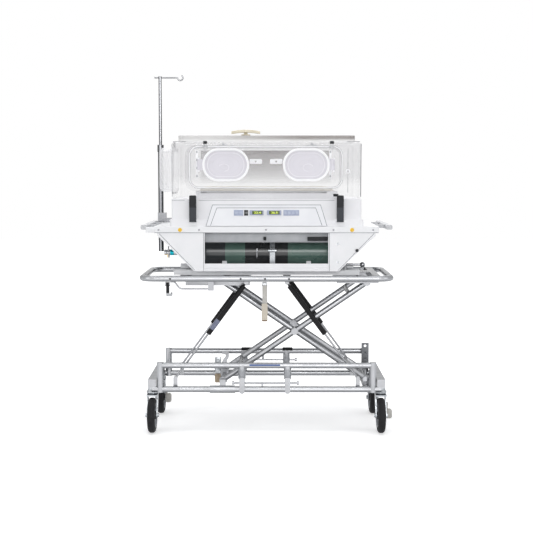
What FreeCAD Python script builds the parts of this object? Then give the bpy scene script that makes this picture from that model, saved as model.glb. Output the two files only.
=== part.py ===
import FreeCAD, Part
import math
import os
import re
import Sketcher

# Transport incubator on a height-adjustable trolley: +X to the right, +Y away from the viewer,
# +Z up, the floor at zero and the middle of the footprint at the origin. Millimetres and degrees.

SIZES = {
    # running fit of a pin, sleeve or rod in its bore, on the radius, and the gap between neighbours
    "running_fit": 0.05,
    "seat_gap": 0.3,
    # tubes of the trolley
    "frame_tube": 25.4,
    "base_half_width": 200.0,
    "post_x": 455.0,
    "post_diameter": 30.0,
    "post_above": 13.0,
    "post_below": 13.0,
    "lower_rail_height": 188.0,
    "upper_rail_height": 291.0,
    "left_tee_gap": 83.8,
    "right_tee_x": 90.0,
    "tee_tube": 24.0,
    "tee_sleeve": 30.0,
    "cross_tube": 23.0,
    "tee_sleeve_drop": 58.0,
    "tee_tip_width": 22.0,
    "tee_tip_thick": 5.0,
    "tee_tip_drop": 6.0,
    "block_width": 34.0,
    "block_height": 36.0,
    "block_overhang": 8.0,
    "saddle_pad_x": 95.0,
    "saddle_pad_long": 46.0,
    "saddle_pad_thick": 4.0,
    "lock_rod_diameter": 8.0,
    "front_rod_height": 215.0,
    "rear_rod_height": 250.0,
    "lock_rod_out": 43.0,
    "lock_rod_right": 139.0,
    "lock_knob_diameter": 14.0,
    "lock_knob_long": 10.0,
    "anchor_plate_high": 104.0,
    "anchor_plate_wide": 34.0,
    "anchor_plate_thick": 6.0,
    "anchor_bore": 12.0,
    "anchor_bore_pitch": 30.0,
    # casters
    "caster_x": 491.0,
    "caster_y": 170.0,
    "caster_trail": 30.0,
    "wheel_diameter": 150.0,
    "wheel_width": 34.0,
    "rim_diameter": 104.0,
    "rim_recess": 6.0,
    "hub_diameter": 34.0,
    "axle_diameter": 10.0,
    "axle_nut_diameter": 18.0,
    "axle_nut_long": 6.0,
    "stem_diameter": 14.0,
    "race_diameter": 52.0,
    "race_height": 22.0,
    "fork_leg_thick": 4.0,
    "fork_leg_wide": 40.0,
    "fork_crown_thick": 6.0,
    "fork_side_gap": 2.0,
    "wheel_top_gap": 8.0,
    "pedal_long": 26.0,
    "pedal_wide": 22.0,
    "pedal_thick": 8.0,
    "pedal_pad_high": 40.0,
    "pedal_neck_drop": 22.0,
    "pedal_round": 9.0,
    "pedal_pivot_up": 44.0,
    "pedal_pin": 6.0,
    # scissor
    "pivot_x": 430.0,
    "base_pivot_height": 220.0,
    "arm_length": 750.0,
    "rest_angle": 34.4,
    "arm_tube": 25.0,
    "arm_eye": 30.0,
    "arm_eye_proud": 0.5,
    "inner_arm_y": 117.0,
    "outer_arm_y": 147.0,
    "pivot_pin": 16.0,
    "pivot_head": 24.0,
    "pivot_head_thick": 4.0,
    "tie_tube": 18.0,
    "tie_inset": 90.0,
    "lug_thick": 6.0,
    "sleeve_diameter": 32.0,
    "sleeve_long": 108.0,
    "bridge_wide": 24.0,
    "bridge_high": 36.0,
    "hook_thick": 12.0,
    "roller_diameter": 22.0,
    "roller_wide": 10.0,
    "track_wall": 3.0,
    "track_left": 160.0,
    "track_right": 118.0,
    # struts
    "strut_in": 26.5,
    "strut_top_x": 87.0,
    "strut_top_rise": 1.3,
    "strut_foot_x": 392.0,
    "strut_foot_height": 232.0,
    "strut_tube": 22.0,
    "strut_tube_long": 275.0,
    "strut_rod": 9.0,
    "strut_eye": 18.0,
    "strut_eye_thick": 10.0,
    "strut_pin": 10.0,
    "strut_neck": 20.0,
    "strut_overlap": 20.0,
    "strut_bore_long": 202.0,
    "strut_lug_thick": 4.0,
    # deck
    "deck_rise": 23.3,
    "deck_half_long": 528.3,
    "deck_half_wide": 237.0,
    "deck_bend": 55.0,
    "beam_wide": 30.0,
    "left_beam_in": 178.3,
    "right_beam_in": 63.3,
    "beam_cope": 4.0,
    "side_plate_left": 300.0,
    "side_plate_high": 26.0,
    "longeron_y": 202.0,
    "longeron_wide": 14.0,
    "longeron_high": 12.0,
    "height_lever_x": 8.0,
    "height_lever_long": 158.0,
    "height_grip_long": 76.0,
    "height_grip_wide": 25.0,
    "lever_pin_drop": 10.0,
    "lever_pin": 8.0,
    "lever_ear_thick": 4.0,
    "lever_bar_wide": 13.0,
    "lever_bar_deep": 9.0,
    "release_lever_x": 417.0,
    "release_lever_long": 46.0,
    "linkage_rod": 7.0,
    "linkage_y": 205.0,
    "linkage_left": 392.0,
    "linkage_knee": 368.0,
    "linkage_right": 236.0,
    "linkage_drop": 30.0,
    "linkage_block": 24.0,
    "latch_plate_left": 300.0,
    "latch_plate_wide": 84.0,
    "latch_plate_thick": 4.0,
    "latch_pivot_x": 345.0,
    "latch_arm_long": 78.0,
    "latch_arm_diameter": 12.0,
    "latch_knob_diameter": 24.0,
    "latch_post_diameter": 22.0,
    "latch_post_high": 22.0,
    # bay and tray
    "runner_height": 19.3,
    "runner_wide": 40.0,
    "runner_y": 180.0,
    "runner_half_long": 395.0,
    "bay_height": 161.0,
    "bay_half_long": 305.0,
    "bay_half_deep": 241.0,
    "sheet_thick": 3.0,
    "bay_lip_high": 32.0,
    "bay_window_half": 260.0,
    "cheek_top_x": 459.0,
    "cheek_top_drop": 10.0,
    "cheek_foot_x": 304.0,
    "cheek_flange": 14.0,
    "bay_post": 18.0,
    "bay_post_x": 283.0,
    "bay_post_y": 222.0,
    "cradle_x": 180.0,
    "cradle_wide": 20.0,
    "cradle_high": 34.0,
    "tray_half_long": 472.0,
    "tray_half_deep": 246.0,
    "tray_height": 27.0,
    "handle_x": 516.0,
    "handle_wide": 26.0,
    "handle_high": 20.0,
    "handle_drop": 13.0,
    "handle_half_long": 240.0,
    "handle_arm_y": 130.0,
    "handle_arm_wide": 30.0,
    "handle_round": 6.0,
    # gas supply
    "gas_diameter": 111.0,
    "gas_y": 115.0,
    "gas_height": 71.0,
    "gas_left": 300.0,
    "gas_right": 318.0,
    "gas_shoulder": 40.0,
    "gas_neck_diameter": 30.0,
    "gas_neck_long": 16.0,
    "valve_diameter": 34.0,
    "valve_long": 34.0,
    "regulator_diameter": 26.0,
    "regulator_long": 92.0,
    "regulator_collar": 36.0,
    "regulator_collar_long": 20.0,
    "knob_diameter": 27.0,
    "knob_high": 20.0,
    "knob_stem": 8.0,
    "knob_stem_high": 6.0,
    "knob_x": 388.0,
    "fitting_diameter": 10.0,
    "fitting_drop": 16.0,
    "fitting_x": 424.0,
    "spigot_rise": 3.0,
    "hose_diameter": 6.0,
    "clamp_x": 25.0,
    "clamp_wide": 22.0,
    "clamp_thick": 4.0,
    "clamp_foot_wide": 34.0,
    "clamp_screw": 12.0,
    # housing
    "plinth_height": 28.0,
    "plinth_half_long": 408.0,
    "plinth_half_deep": 236.0,
    "body_height": 88.0,
    "body_half_long": 400.0,
    "body_half_deep": 226.0,
    "body_round": 12.0,
    "panel_foot_half": 256.0,
    "panel_head_half": 229.0,
    "panel_high": 90.0,
    "panel_foot_deep": 18.0,
    "panel_head_deep": 6.0,
    "keypad_half_long": 138.0,
    "keypad_high": 26.0,
    "keypad_up": 42.0,
    "keypad_thick": 1.5,
    "window_long": 58.0,
    "window_high": 20.0,
    "window_thick": 3.0,
    "window_left_x": 41.5,
    "window_right_x": 33.0,
    # mattress
    "bed_half_long": 300.0,
    "bed_half_deep": 196.0,
    "bed_height": 32.0,
    "bed_wall": 5.0,
    "bed_floor": 8.0,
    "mattress_thick": 42.0,
    "mattress_round": 14.0,
    "mattress_gap": 2.0,
    # hood
    "hood_left": 400.0,
    "hood_right": 398.0,
    "hood_half_deep": 230.0,
    "hood_height": 240.0,
    "hood_wall": 5.0,
    "hood_round": 14.0,
    "hood_corner": 30.0,
    "roof_half_long": 377.0,
    "roof_half_deep": 150.0,
    "roof_thick": 27.0,
    "roof_round": 24.0,
    "hood_hinge_x": 250.0,
    "hood_hinge_long": 70.0,
    "grommet_x": 346.0,
    "grommet_up": 112.0,
    "grommet_diameter": 26.0,
    "grommet_thick": 5.0,
    "lamp_x": 92.0,
    "lamp_boss_diameter": 46.0,
    "lamp_boss_high": 5.0,
    "lamp_stalk_diameter": 16.0,
    "lamp_stalk_high": 9.0,
    "lamp_half_long": 65.0,
    "lamp_half_deep": 28.0,
    "lamp_high": 16.0,
    "lamp_round": 7.0,
    "door_left": 342.0,
    "door_right": 318.0,
    "door_foot": 33.0,
    "door_height": 190.0,
    "door_thick": 6.0,
    "door_round": 44.0,
    "door_lap": 14.0,
    "door_hinge": 10.0,
    "door_pin": 5.0,
    "knuckle_long": 16.0,
    "pin_reach": 24.0,
    "port_left_x": 170.0,
    "port_right_x": 166.0,
    "port_up": 109.0,
    "port_long": 174.0,
    "port_high": 116.0,
    "port_rim_wide": 11.0,
    "port_rim_deep": 9.0,
    "port_door_thick": 4.0,
    "port_hinge": 9.0,
    "port_hinge_reach": 17.0,
    "port_hinge_long": 46.0,
    "port_latch_long": 52.0,
    "port_latch_high": 20.0,
    "port_latch_thick": 9.0,
    "port_latch_pin": 8.0,
    "catch_left_x": 256.0,
    "catch_right_x": 273.0,
    "catch_wide": 24.0,
    "catch_high": 26.0,
    "catch_thick": 9.0,
    "catch_pin": 6.0,
    "catch_drop": 8.0,
    "end_door_half": 165.0,
    "end_door_foot": 27.0,
    "end_door_height": 190.0,
    "end_door_deep": 58.0,
    "end_door_wall": 4.0,
    "end_door_round": 34.0,
    "end_door_lap": 14.0,
    "end_latch_long": 24.0,
    "end_latch_wide": 12.0,
    "end_latch_thick": 8.0,
    "end_latch_pin": 5.0,
    "end_hinge": 10.0,
    "end_hinge_half": 90.0,
    "clip_ear_thick": 4.0,
    "clip_x": 309.0,
    "clip_wide": 29.0,
    "clip_high": 112.0,
    "clip_thick": 15.0,
    "clip_up": 15.0,
    "clip_pin": 7.0,
    "clip_round": 5.0,
    # drip stand
    "pole_x": 486.0,
    "pole_y": 200.0,
    "pole_tube": 24.0,
    "pole_foot": 754.0,
    "pole_collar_foot": 1208.0,
    "pole_collar_diameter": 29.0,
    "pole_collar_high": 32.0,
    "pole_upper_tube": 14.0,
    "pole_top": 1550.0,
    "pole_inside": 230.0,
    "pole_travel": 210.0,
    "pole_hook_radius": 15.0,
    "pole_hook_reach": 107.0,
    "pole_hook_back": 24.0,
    "pole_hook_wire": 6.0,
    "pole_clamp_wide": 38.0,
    "pole_clamp_deep": 40.0,
    "pole_clamp_high": 44.0,
    "pole_bracket_long": 56.0,
    "pole_bracket_high": 20.0,
}

doc = FreeCAD.newDocument("Incubator")
sheet = doc.addObject("Spreadsheet::Sheet", "Sizes")
for row, (alias, size) in enumerate(SIZES.items(), start=1):
    sheet.set(f"A{row}", alias)
    sheet.set(f"B{row}", str(size))
    sheet.setAlias(f"B{row}", alias)
doc.recompute()

WORD = re.compile(r"[a-z_]+")
NODES = {}

# places that follow from the sheet
TUBE = "(frame_tube / 2)"
LEFT_END = "(pivot_x - arm_length * cos(rest_angle))"
DECK_PIVOT = "(base_pivot_height + arm_length * sin(rest_angle))"
DECK = f"({DECK_PIVOT} + deck_rise)"
DECK_TOP = f"({DECK} + {TUBE})"
BAY = f"({DECK_TOP} + runner_height)"
TRAY = f"({BAY} + bay_height)"
PLINTH = f"({TRAY} + tray_height)"
BODY = f"({PLINTH} + plinth_height)"
HOOD = f"({BODY} + body_height)"
GAS = f"({BAY} + gas_height)"
STRUT_TOP = f"({DECK_PIVOT} + strut_top_rise)"
STRUT_Y = "(base_half_width - strut_in)"
LEFT_TEE = f"({LEFT_END} + left_tee_gap)"
LEFT_BEAM = "(left_beam_in - deck_half_long)"
RIGHT_BEAM = "(deck_half_long - right_beam_in)"
PIN = "(pivot_pin / 2)"
PIN_BORE = "(pivot_pin / 2 + running_fit)"


def link(text):
    """The expression with each named size read from the sheet."""
    return WORD.sub(lambda m: "Sizes." + m[0] if m[0] in SIZES else m[0], str(text))


def value(text):
    """What an expression of named sizes comes to."""
    found = sheet.evalExpression(link(text))
    return float(getattr(found, "Value", found))


def bind(obj, prop, text):
    obj.setExpression(prop, link(text))


def place(obj, x="0", y="0", z="0", axis=None, angle="0"):
    """Puts an object at a bound place, turned about an axis by a bound angle."""
    if axis:
        turn = FreeCAD.Rotation(FreeCAD.Vector(*axis), value(angle))
        obj.Placement = FreeCAD.Placement(FreeCAD.Vector(), turn)
        bind(obj, "Placement.Rotation.Angle", angle)
    for letter, text in zip("xyz", (x, y, z)):
        bind(obj, f"Placement.Base.{letter}", text)
    return obj


def box(name, long, deep, high, x, y, z):
    """A block with its middle at x, y and its underside at z."""
    block = doc.addObject("Part::Box", name)
    bind(block, "Length", long)
    bind(block, "Width", deep)
    bind(block, "Height", high)
    return place(block, f"{x} - ({long}) / 2", f"{y} - ({deep}) / 2", z)


TURNS = {"X": ((0, 1, 0), "90"), "Y": ((-1, 0, 0), "90"), "Z": (None, "0")}


def rod(name, radius, long, x, y, z, along="Z"):
    """A round bar that starts at x, y, z."""
    bar = doc.addObject("Part::Cylinder", name)
    bind(bar, "Radius", radius)
    bind(bar, "Height", long)
    axis, angle = TURNS[along]
    return place(bar, x, y, z, axis, angle)


def across(name, radius, long, x, y, z):
    """A round bar along Y with its middle at x, y, z."""
    return rod(name, radius, long, x, f"{y} - ({long}) / 2", z, "Y")


def fuse(name, pieces):
    whole = doc.addObject("Part::MultiFuse", name)
    whole.Shapes = pieces
    whole.Refine = True
    return whole


def cut(name, base, tool):
    rest = doc.addObject("Part::Cut", name)
    rest.Base = base
    rest.Tool = tool
    rest.Refine = True
    return rest


def together(name, pieces):
    """Separate solids of one node."""
    kept = doc.addObject("Part::Compound", name)
    kept.Links = pieces
    return kept


def node(name, obj):
    obj.Label = name
    NODES[name] = obj
    return obj


def rounded(name, base, radius, wanted):
    """The base with the edges that pass the test rounded."""
    doc.recompute()
    smooth = doc.addObject("Part::Fillet", name)
    smooth.Base = base
    size = value(radius)
    picked = [n for n, edge in enumerate(base.Shape.Edges, start=1) if wanted(edge)]
    smooth.Edges = [(n, size, size) for n in picked]
    return smooth


def runs(edge, axis):
    """Whether a straight edge runs along an axis."""
    if edge.Curve.TypeId != "Part::GeomLine":
        return False
    return abs(edge.tangentAt(edge.FirstParameter).dot(FreeCAD.Vector(*axis))) > 0.999


def origin_plane(body, role):
    return next(f for f in body.Origin.OriginFeatures if f.Role == role)


def outline(body, role, points):
    """A closed sketch whose corners are held to the named sizes."""
    sketch = body.newObject("Sketcher::SketchObject", body.Name + "Outline")
    sketch.AttachmentSupport = (origin_plane(body, role), "")
    sketch.MapMode = "FlatFace"
    spots = [FreeCAD.Vector(value(a), value(b), 0) for a, b in points]
    count = len(spots)
    for n, spot in enumerate(spots):
        sketch.addGeometry(Part.LineSegment(spot, spots[(n + 1) % count]), False)
    for n in range(count):
        sketch.addConstraint(Sketcher.Constraint("Coincident", n, 2, (n + 1) % count, 1))
    for n, (a, b) in enumerate(points):
        for kind, text, axis in (("DistanceX", a, -2), ("DistanceY", b, -1)):
            size = value(text)
            if abs(size) < 1e-9:
                sketch.addConstraint(Sketcher.Constraint("PointOnObject", n, 1, axis))
                continue
            held = sketch.addConstraint(Sketcher.Constraint(kind, -1, 1, n, 1, size))
            sketch.setExpression(f"Constraints[{held}]", link(text))
    return sketch


def plate(name, points, thick, role="XZ_Plane"):
    """A body padded from an outline: upright plates grow towards -Y or +X, flat ones up."""
    body = doc.addObject("PartDesign::Body", name)
    sketch = outline(body, role, points)
    pad = body.newObject("PartDesign::Pad", name + "Pad")
    pad.Profile = sketch
    bind(pad, "Length", thick)
    return body


def turned(name, points, x="0", y="0", z="0", along="Z"):
    """A body turned from half of its profile, given as radius and height."""
    body = doc.addObject("PartDesign::Body", name)
    sketch = outline(body, "XZ_Plane", points)
    turn = body.newObject("PartDesign::Revolution", name + "Turn")
    turn.Profile = sketch
    turn.ReferenceAxis = (sketch, ["V_Axis"])
    turn.Angle = 360
    axis, angle = TURNS[along]
    return place(body, x, y, z, axis, angle)


def lug(name, radius, thick, x, y, z, reach):
    """An ear round a pin along Y, with a straight part that reaches up or down to its seat."""
    eye = across(name + "Eye", radius, thick, x, y, z)
    foot = f"{z} - ({reach})" if value(reach) > 0 else z
    web = box(name + "Web", f"2 * ({radius})", thick, f"abs({reach})", x, y, foot)
    return [eye, web]


def bent_tube(points, radius, bend=0.45):
    """A tube along straight runs joined by tangent arcs, each as large as its runs allow."""
    spots = [FreeCAD.Vector(*p) for p in points]
    edges = []
    start = spots[0]
    for before, corner, after in zip(spots, spots[1:], spots[2:]):
        back = (before - corner).normalize()
        ahead = (after - corner).normalize()
        half_turn = (math.pi - back.getAngle(ahead)) / 2
        reach = bend * min((before - corner).Length, (after - corner).Length)
        arc_radius = reach / math.tan(half_turn)
        first = corner + back * reach
        last = corner + ahead * reach
        inward = (back + ahead).normalize()
        centre = corner + inward * (arc_radius / math.cos(half_turn))
        middle = centre - inward * arc_radius
        edges.append(Part.LineSegment(start, first).toShape())
        edges.append(Part.Arc(first, middle, last).toShape())
        start = last
        print("bend radius", round(arc_radius, 1))
    edges.append(Part.LineSegment(start, spots[-1]).toShape())
    path = Part.Wire(edges)
    heading = spots[1] - spots[0]
    ring = Part.Wire(Part.makeCircle(radius, spots[0], heading))
    tube = path.makePipeShell([ring], True, False)
    return tube, path


# trolley base
def tee_post(x, side):
    """A post between the two rails of a side, with a flat tip over the lower rail."""
    y = f"{side} * base_half_width"
    drop = "upper_rail_height - lower_rail_height"
    face = f"{side} * (base_half_width + {TUBE} + tee_tip_thick / 2 - 1)"
    tip_z = "lower_rail_height - tee_tip_drop"
    return [
        rod("TeeSleeve", "tee_sleeve / 2", "tee_sleeve_drop", x, y,
            "upper_rail_height - tee_sleeve_drop"),
        rod("TeePost", "tee_tube / 2", drop, x, y, "lower_rail_height"),
        across("TeeTip", "tee_tip_width / 2", "tee_tip_thick", x, face, tip_z),
        box("TeeStrap", "tee_tip_width", "tee_tip_thick", "tee_sleeve_drop", x, face, tip_z),
        box("TeeFill", "tee_tip_width", f"{TUBE} + tee_tip_thick / 2",
            "tee_sleeve_drop - tee_tip_drop - frame_tube / 4", x,
            f"{side} * (base_half_width + {TUBE} / 2 + tee_tip_thick / 4)",
            f"lower_rail_height + {TUBE} / 2"),
    ]


def side_frame(side):
    """The rails, posts and tee posts of one long side of the base."""
    y = f"{side} * base_half_width"
    post_high = "upper_rail_height - lower_rail_height + post_above + post_below"
    pieces = [
        rod("LowerRail", TUBE, "2 * caster_x", "-caster_x", y, "lower_rail_height", "X"),
        rod("UpperRail", TUBE, "2 * post_x", "-post_x", y, "upper_rail_height", "X"),
    ]
    for end in (-1, 1):
        pieces.append(rod("EndPost", "post_diameter / 2", post_high, f"{end} * post_x", y,
                          "lower_rail_height - post_below"))
        inner = f"{STRUT_Y} + strut_eye_thick / 2 + seat_gap"
        foot_y = f"{side} * ({inner} + strut_lug_thick / 2)"
        foot_x = f"{end} * strut_foot_x"
        pieces += lug("StrutFoot", "strut_eye / 2", "strut_lug_thick", foot_x, foot_y,
                      "strut_foot_height", "strut_foot_height - lower_rail_height + 6")
        pieces.append(box("FootBlock", "strut_eye", f"base_half_width - ({inner})", "12",
                          foot_x, f"{side} * (base_half_width + {inner}) / 2",
                          "lower_rail_height - 6"))
    for x in (LEFT_TEE, "right_tee_x"):
        pieces += tee_post(x, side)
    return pieces


def base_frame():
    """The welded tube frame: two side frames, end blocks for the casters and the pivot lugs."""
    pieces = side_frame(-1) + side_frame(1)
    block_foot = "lower_rail_height + 7"
    for end in (-1, 1):
        pieces.append(box("EndBlock", "block_width", "2 * (base_half_width + block_overhang)",
                          "block_height", f"{end} * caster_x", "0", block_foot))
    pieces.append(across("PivotTube", "cross_tube / 2", "2 * base_half_width", "pivot_x", "0",
                         "lower_rail_height"))
    for side in (-1, 1):
        for step in (-1, 1):
            y = f"{side} * (inner_arm_y + {step} * (arm_tube / 2 + seat_gap + lug_thick / 2))"
            pieces += lug("PivotLug", "arm_eye / 2 - 1", "lug_thick", "pivot_x", y,
                          "base_pivot_height", "base_pivot_height - lower_rail_height")
    plate_y = "base_half_width - post_diameter / 2 - anchor_plate_thick / 2 + 3"
    plate_x = "post_x - 2"
    plate_z = "upper_rail_height - 64"
    pieces.append(box("AnchorPlate", "anchor_plate_wide", "anchor_plate_thick",
                      "anchor_plate_high", plate_x, plate_y, plate_z))
    body = fuse("BaseTubes", pieces)
    bores = [across("PivotBore", PIN, "2 * base_half_width", "pivot_x", "0",
                    "base_pivot_height")]
    for n in (0, 1, 2):
        bores.append(across("AnchorBore", "anchor_bore / 2", "anchor_plate_thick + 20",
                            plate_x, "base_half_width - post_diameter / 2",
                            f"{plate_z} + anchor_plate_high - 14 - {n} * anchor_bore_pitch"))
    for x_end in (-1, 1):
        for y_end in (-1, 1):
            bores.append(rod("StemBore", "stem_diameter / 2 + running_fit",
                             "block_height + 2", f"{x_end} * caster_x",
                             f"{y_end} * caster_y", f"{block_foot} - 1"))
            bores.append(rod("RaceSpace", "race_diameter / 2 + 1", "frame_tube",
                             f"{x_end} * caster_x", f"{y_end} * caster_y",
                             f"{block_foot} - frame_tube"))
    for side, height in ((-1, "front_rod_height"), (1, "rear_rod_height")):
        bores.append(rod("RodBore", "lock_rod_diameter / 2",
                         f"right_tee_x - {LEFT_TEE} + tee_sleeve * 2",
                         f"{LEFT_TEE} - tee_sleeve", f"{side} * base_half_width", height, "X"))
    node("base_frame", cut("BaseFrame", body, fuse("BaseBores", bores)))


def saddle_pads():
    """Rubber pads on the rear upper rail that the lowered deck rests on."""
    pads = []
    for end in (-1, 1):
        x = f"{end} * saddle_pad_x"
        shell = rod("PadShell", f"{TUBE} + saddle_pad_thick", "saddle_pad_long",
                    f"{x} - saddle_pad_long / 2", "base_half_width", "upper_rail_height", "X")
        hollow = rod("PadHollow", TUBE, "saddle_pad_long + 2",
                     f"{x} - saddle_pad_long / 2 - 1", "base_half_width",
                     "upper_rail_height", "X")
        skirt = box("PadSkirt", "saddle_pad_long + 2", "2 * frame_tube", "2 * frame_tube", x,
                    "base_half_width", "upper_rail_height - 2 * frame_tube + 4")
        pads.append(cut("Pad", cut("PadRing", shell, hollow), skirt))
    node("bumper_pads", together("BumperPads", pads))


def lock_rods():
    """The two thin rods through the tee posts, each with end knobs and a slanted tab."""
    rods = []
    start = f"({LEFT_TEE} - lock_rod_out)"
    long = f"(lock_rod_right - {start})"
    for side, height, tab in ((-1, "front_rod_height", 1), (1, "rear_rod_height", -1)):
        y = f"{side} * base_half_width"
        bar = rod("LockBar", "lock_rod_diameter / 2", long, start, y, height, "X")
        ends = [
            rod("LockKnob", "lock_knob_diameter / 2", "lock_knob_long", x, y, height, "X")
            for x in (start, "lock_rod_right - lock_knob_long")
        ]
        tab_high = f"({height} - lower_rail_height - {TUBE} - seat_gap)"
        if tab > 0:
            web = box("LockTab", "9", "4", tab_high, "-18", y,
                      f"{height} - {tab_high}")
        else:
            web = box("LockTab", "9", "4", f"upper_rail_height - {TUBE} - seat_gap - {height}",
                      "-18", y, height)
        rods.append(fuse("LockRod", [bar, web] + ends))
    node("lock_rods", together("LockRods", rods))


def base_pivot_shaft():
    """The shaft that the inner arms turn on, with a head at each end."""
    half = "(inner_arm_y + arm_tube / 2 + seat_gap + lug_thick)"
    bar = across("PivotBar", PIN, f"2 * {half}", "pivot_x", "0", "base_pivot_height")
    heads = [
        across("PivotHead", "pivot_head / 2", "pivot_head_thick", "pivot_x",
               f"{side} * ({half} + pivot_head_thick / 2)", "base_pivot_height")
        for side in (-1, 1)
    ]
    node("base_pivot_shaft", fuse("BasePivotShaft", [bar] + heads))


# casters
CORNERS = {"fl": (-1, -1), "fr": (1, -1), "rl": (-1, 1), "rr": (1, 1)}
# the casters with a brake, and the side of the wheel that its pedal is on
PEDALS = {"fr": 1, "rl": 1}
LEG_X = "(wheel_width / 2 + fork_side_gap + fork_leg_thick / 2)"
CROWN = "(wheel_diameter + wheel_top_gap)"
RACE_FOOT = f"({CROWN} + fork_crown_thick)"


def caster_fork(corner, x_end, y_end):
    """The swivel race and stem, the crown, two tapered legs and the axle."""
    x, y = f"{x_end} * caster_x", f"{y_end} * caster_y"
    wheel_y = f"{y_end} * (caster_y + caster_trail)"
    axle_z = "wheel_diameter / 2"
    race_top = "(lower_rail_height + 7 - seat_gap)"
    r = "race_diameter / 2"
    race = turned("Race" + corner, [
        ("0", RACE_FOOT), (f"{r} - 4", RACE_FOOT), (r, f"{RACE_FOOT} + 5"),
        (r, f"{RACE_FOOT} + 10"), (f"{r} - 3", f"{RACE_FOOT} + 12"),
        (f"{r} - 3", f"{RACE_FOOT} + 15"), (f"{r} - 6", f"{RACE_FOOT} + 19"),
        (f"{r} - 6", race_top), ("stem_diameter / 2", race_top),
        ("stem_diameter / 2", f"{race_top} + block_height"),
        ("0", f"{race_top} + block_height"),
    ], x, y)
    crown_long = f"2 * ({LEG_X} + fork_leg_thick / 2)"
    crown = box("Crown" + corner, crown_long, "race_diameter + caster_trail / 2",
                "fork_crown_thick", x, f"{y} + {y_end} * caster_trail / 4", CROWN)
    pieces = [race, crown]
    for side in (-1, 1):
        half = "fork_leg_wide / 2"
        leg = plate("Leg" + corner, [
            (f"-{half}", CROWN + " + fork_crown_thick"),
            (f"-{half}", f"{CROWN} - 16"),
            (f"{y_end} * caster_trail - 13", f"{axle_z} - 2"),
            (f"{y_end} * caster_trail - 7", f"{axle_z} - 13"),
            (f"{y_end} * caster_trail + 7", f"{axle_z} - 13"),
            (f"{y_end} * caster_trail + 13", f"{axle_z} - 2"),
            (half, f"{CROWN} - 16"), (half, CROWN + " + fork_crown_thick"),
        ], "fork_leg_thick", "YZ_Plane")
        pieces.append(place(leg, f"{x} + {side} * {LEG_X} - fork_leg_thick / 2", y, "0"))
    axle_half = f"({LEG_X} + fork_leg_thick / 2 + axle_nut_long)"
    pieces.append(rod("Axle" + corner, "axle_diameter / 2", f"2 * {axle_half}",
                      f"{x} - {axle_half}", wheel_y, axle_z, "X"))
    for side in (-1, 1):
        nut_x = f"{x} + {side} * ({LEG_X} + fork_leg_thick / 2 + axle_nut_long / 2)"
        pieces.append(rod("Nut" + corner, "axle_nut_diameter / 2", "axle_nut_long",
                          f"{nut_x} - axle_nut_long / 2", wheel_y, axle_z, "X"))
    if corner in PEDALS:
        pieces.append(pedal_pin(corner, x_end, y_end, PEDALS[corner]))
    node("caster_fork_" + corner, fuse("Fork" + corner, pieces))


def caster_wheel(corner, x_end, y_end):
    """A dished rim with a bored hub, and the solid tyre bonded round it."""
    x = f"{x_end} * caster_x - wheel_width / 2"
    y = f"{y_end} * (caster_y + caster_trail)"
    z = "wheel_diameter / 2"
    bore, rim, hub = "axle_diameter / 2 + running_fit", "rim_diameter / 2", "hub_diameter / 2"
    face, low = "wheel_width", "rim_recess"
    disc = turned("Rim" + corner, [
        (bore, "0"), (hub, "0"), (hub, low), (f"{rim} - 8", low), (f"{rim} - 5", "1"),
        (rim, "1"), (rim, f"{face} - 1"), (f"{rim} - 5", f"{face} - 1"),
        (f"{rim} - 8", f"{face} - {low}"), (hub, f"{face} - {low}"), (hub, face),
        (bore, face),
    ], x, y, z, "X")
    tread = "wheel_diameter / 2"
    tyre = turned("Tyre" + corner, [
        (rim, "1"), (f"{rim} + 4", "0"), (f"{tread} - 9", "1.5"), (f"{tread} - 3", "5"),
        (tread, "11"), (tread, f"{face} - 11"), (f"{tread} - 3", f"{face} - 5"),
        (f"{tread} - 9", f"{face} - 1.5"), (f"{rim} + 4", face), (rim, f"{face} - 1"),
    ], x, y, z, "X")
    node("caster_wheel_" + corner, together("Wheel" + corner, [disc, tyre]))


def pedal_pin(corner, x_end, y_end, out):
    """The pin on a fork's leg that its brake pedal turns on."""
    start = f"({LEG_X} - fork_leg_thick / 2)"
    long = "(fork_leg_thick + seat_gap + pedal_thick + 2)"
    mid = f"{x_end} * caster_x + {out} * ({start} + {long} / 2)"
    return rod("PedalPin" + corner, "pedal_pin / 2", long, f"{mid} - {long} / 2",
               f"{y_end} * caster_y", "wheel_diameter / 2 + pedal_pivot_up", "X")


def brake_pedal(corner, x_end, y_end, out):
    """A brake lever hinged on one leg of a fork, with its foot pad pointing away from it."""
    face = f"({LEG_X} + fork_leg_thick / 2 + seat_gap)"
    z = "wheel_diameter / 2 + pedal_pivot_up"
    x, y = f"{x_end} * caster_x", f"{y_end} * caster_y"
    hub_x = f"({x} + {out} * ({face} + pedal_thick / 2))"
    hub = rod("PedalHub" + corner, "pedal_thick", "pedal_thick", f"{hub_x} - pedal_thick / 2",
              y, z, "X")
    pad = box("PedalPad" + corner, "pedal_long", "pedal_wide", "pedal_pad_high",
              f"{x} + {out} * ({face} + pedal_long / 2)", y,
              f"{z} - pedal_neck_drop - pedal_pad_high")
    pad = rounded("PedalPadRound" + corner, pad, "pedal_round", lambda e: runs(e, (0, 1, 0)))
    neck = box("PedalNeck" + corner, "pedal_thick", "pedal_wide * 0.6",
               "pedal_neck_drop + pedal_round", hub_x, y,
               f"{z} - pedal_neck_drop - pedal_round")
    bore = rod("PedalBore" + corner, "pedal_pin / 2 + running_fit", "pedal_thick + 2",
               f"{hub_x} - pedal_thick / 2 - 1", y, z, "X")
    node("brake_pedal_" + corner, cut("Pedal" + corner,
                                      fuse("PedalSolid" + corner, [hub, pad, neck]), bore))


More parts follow.
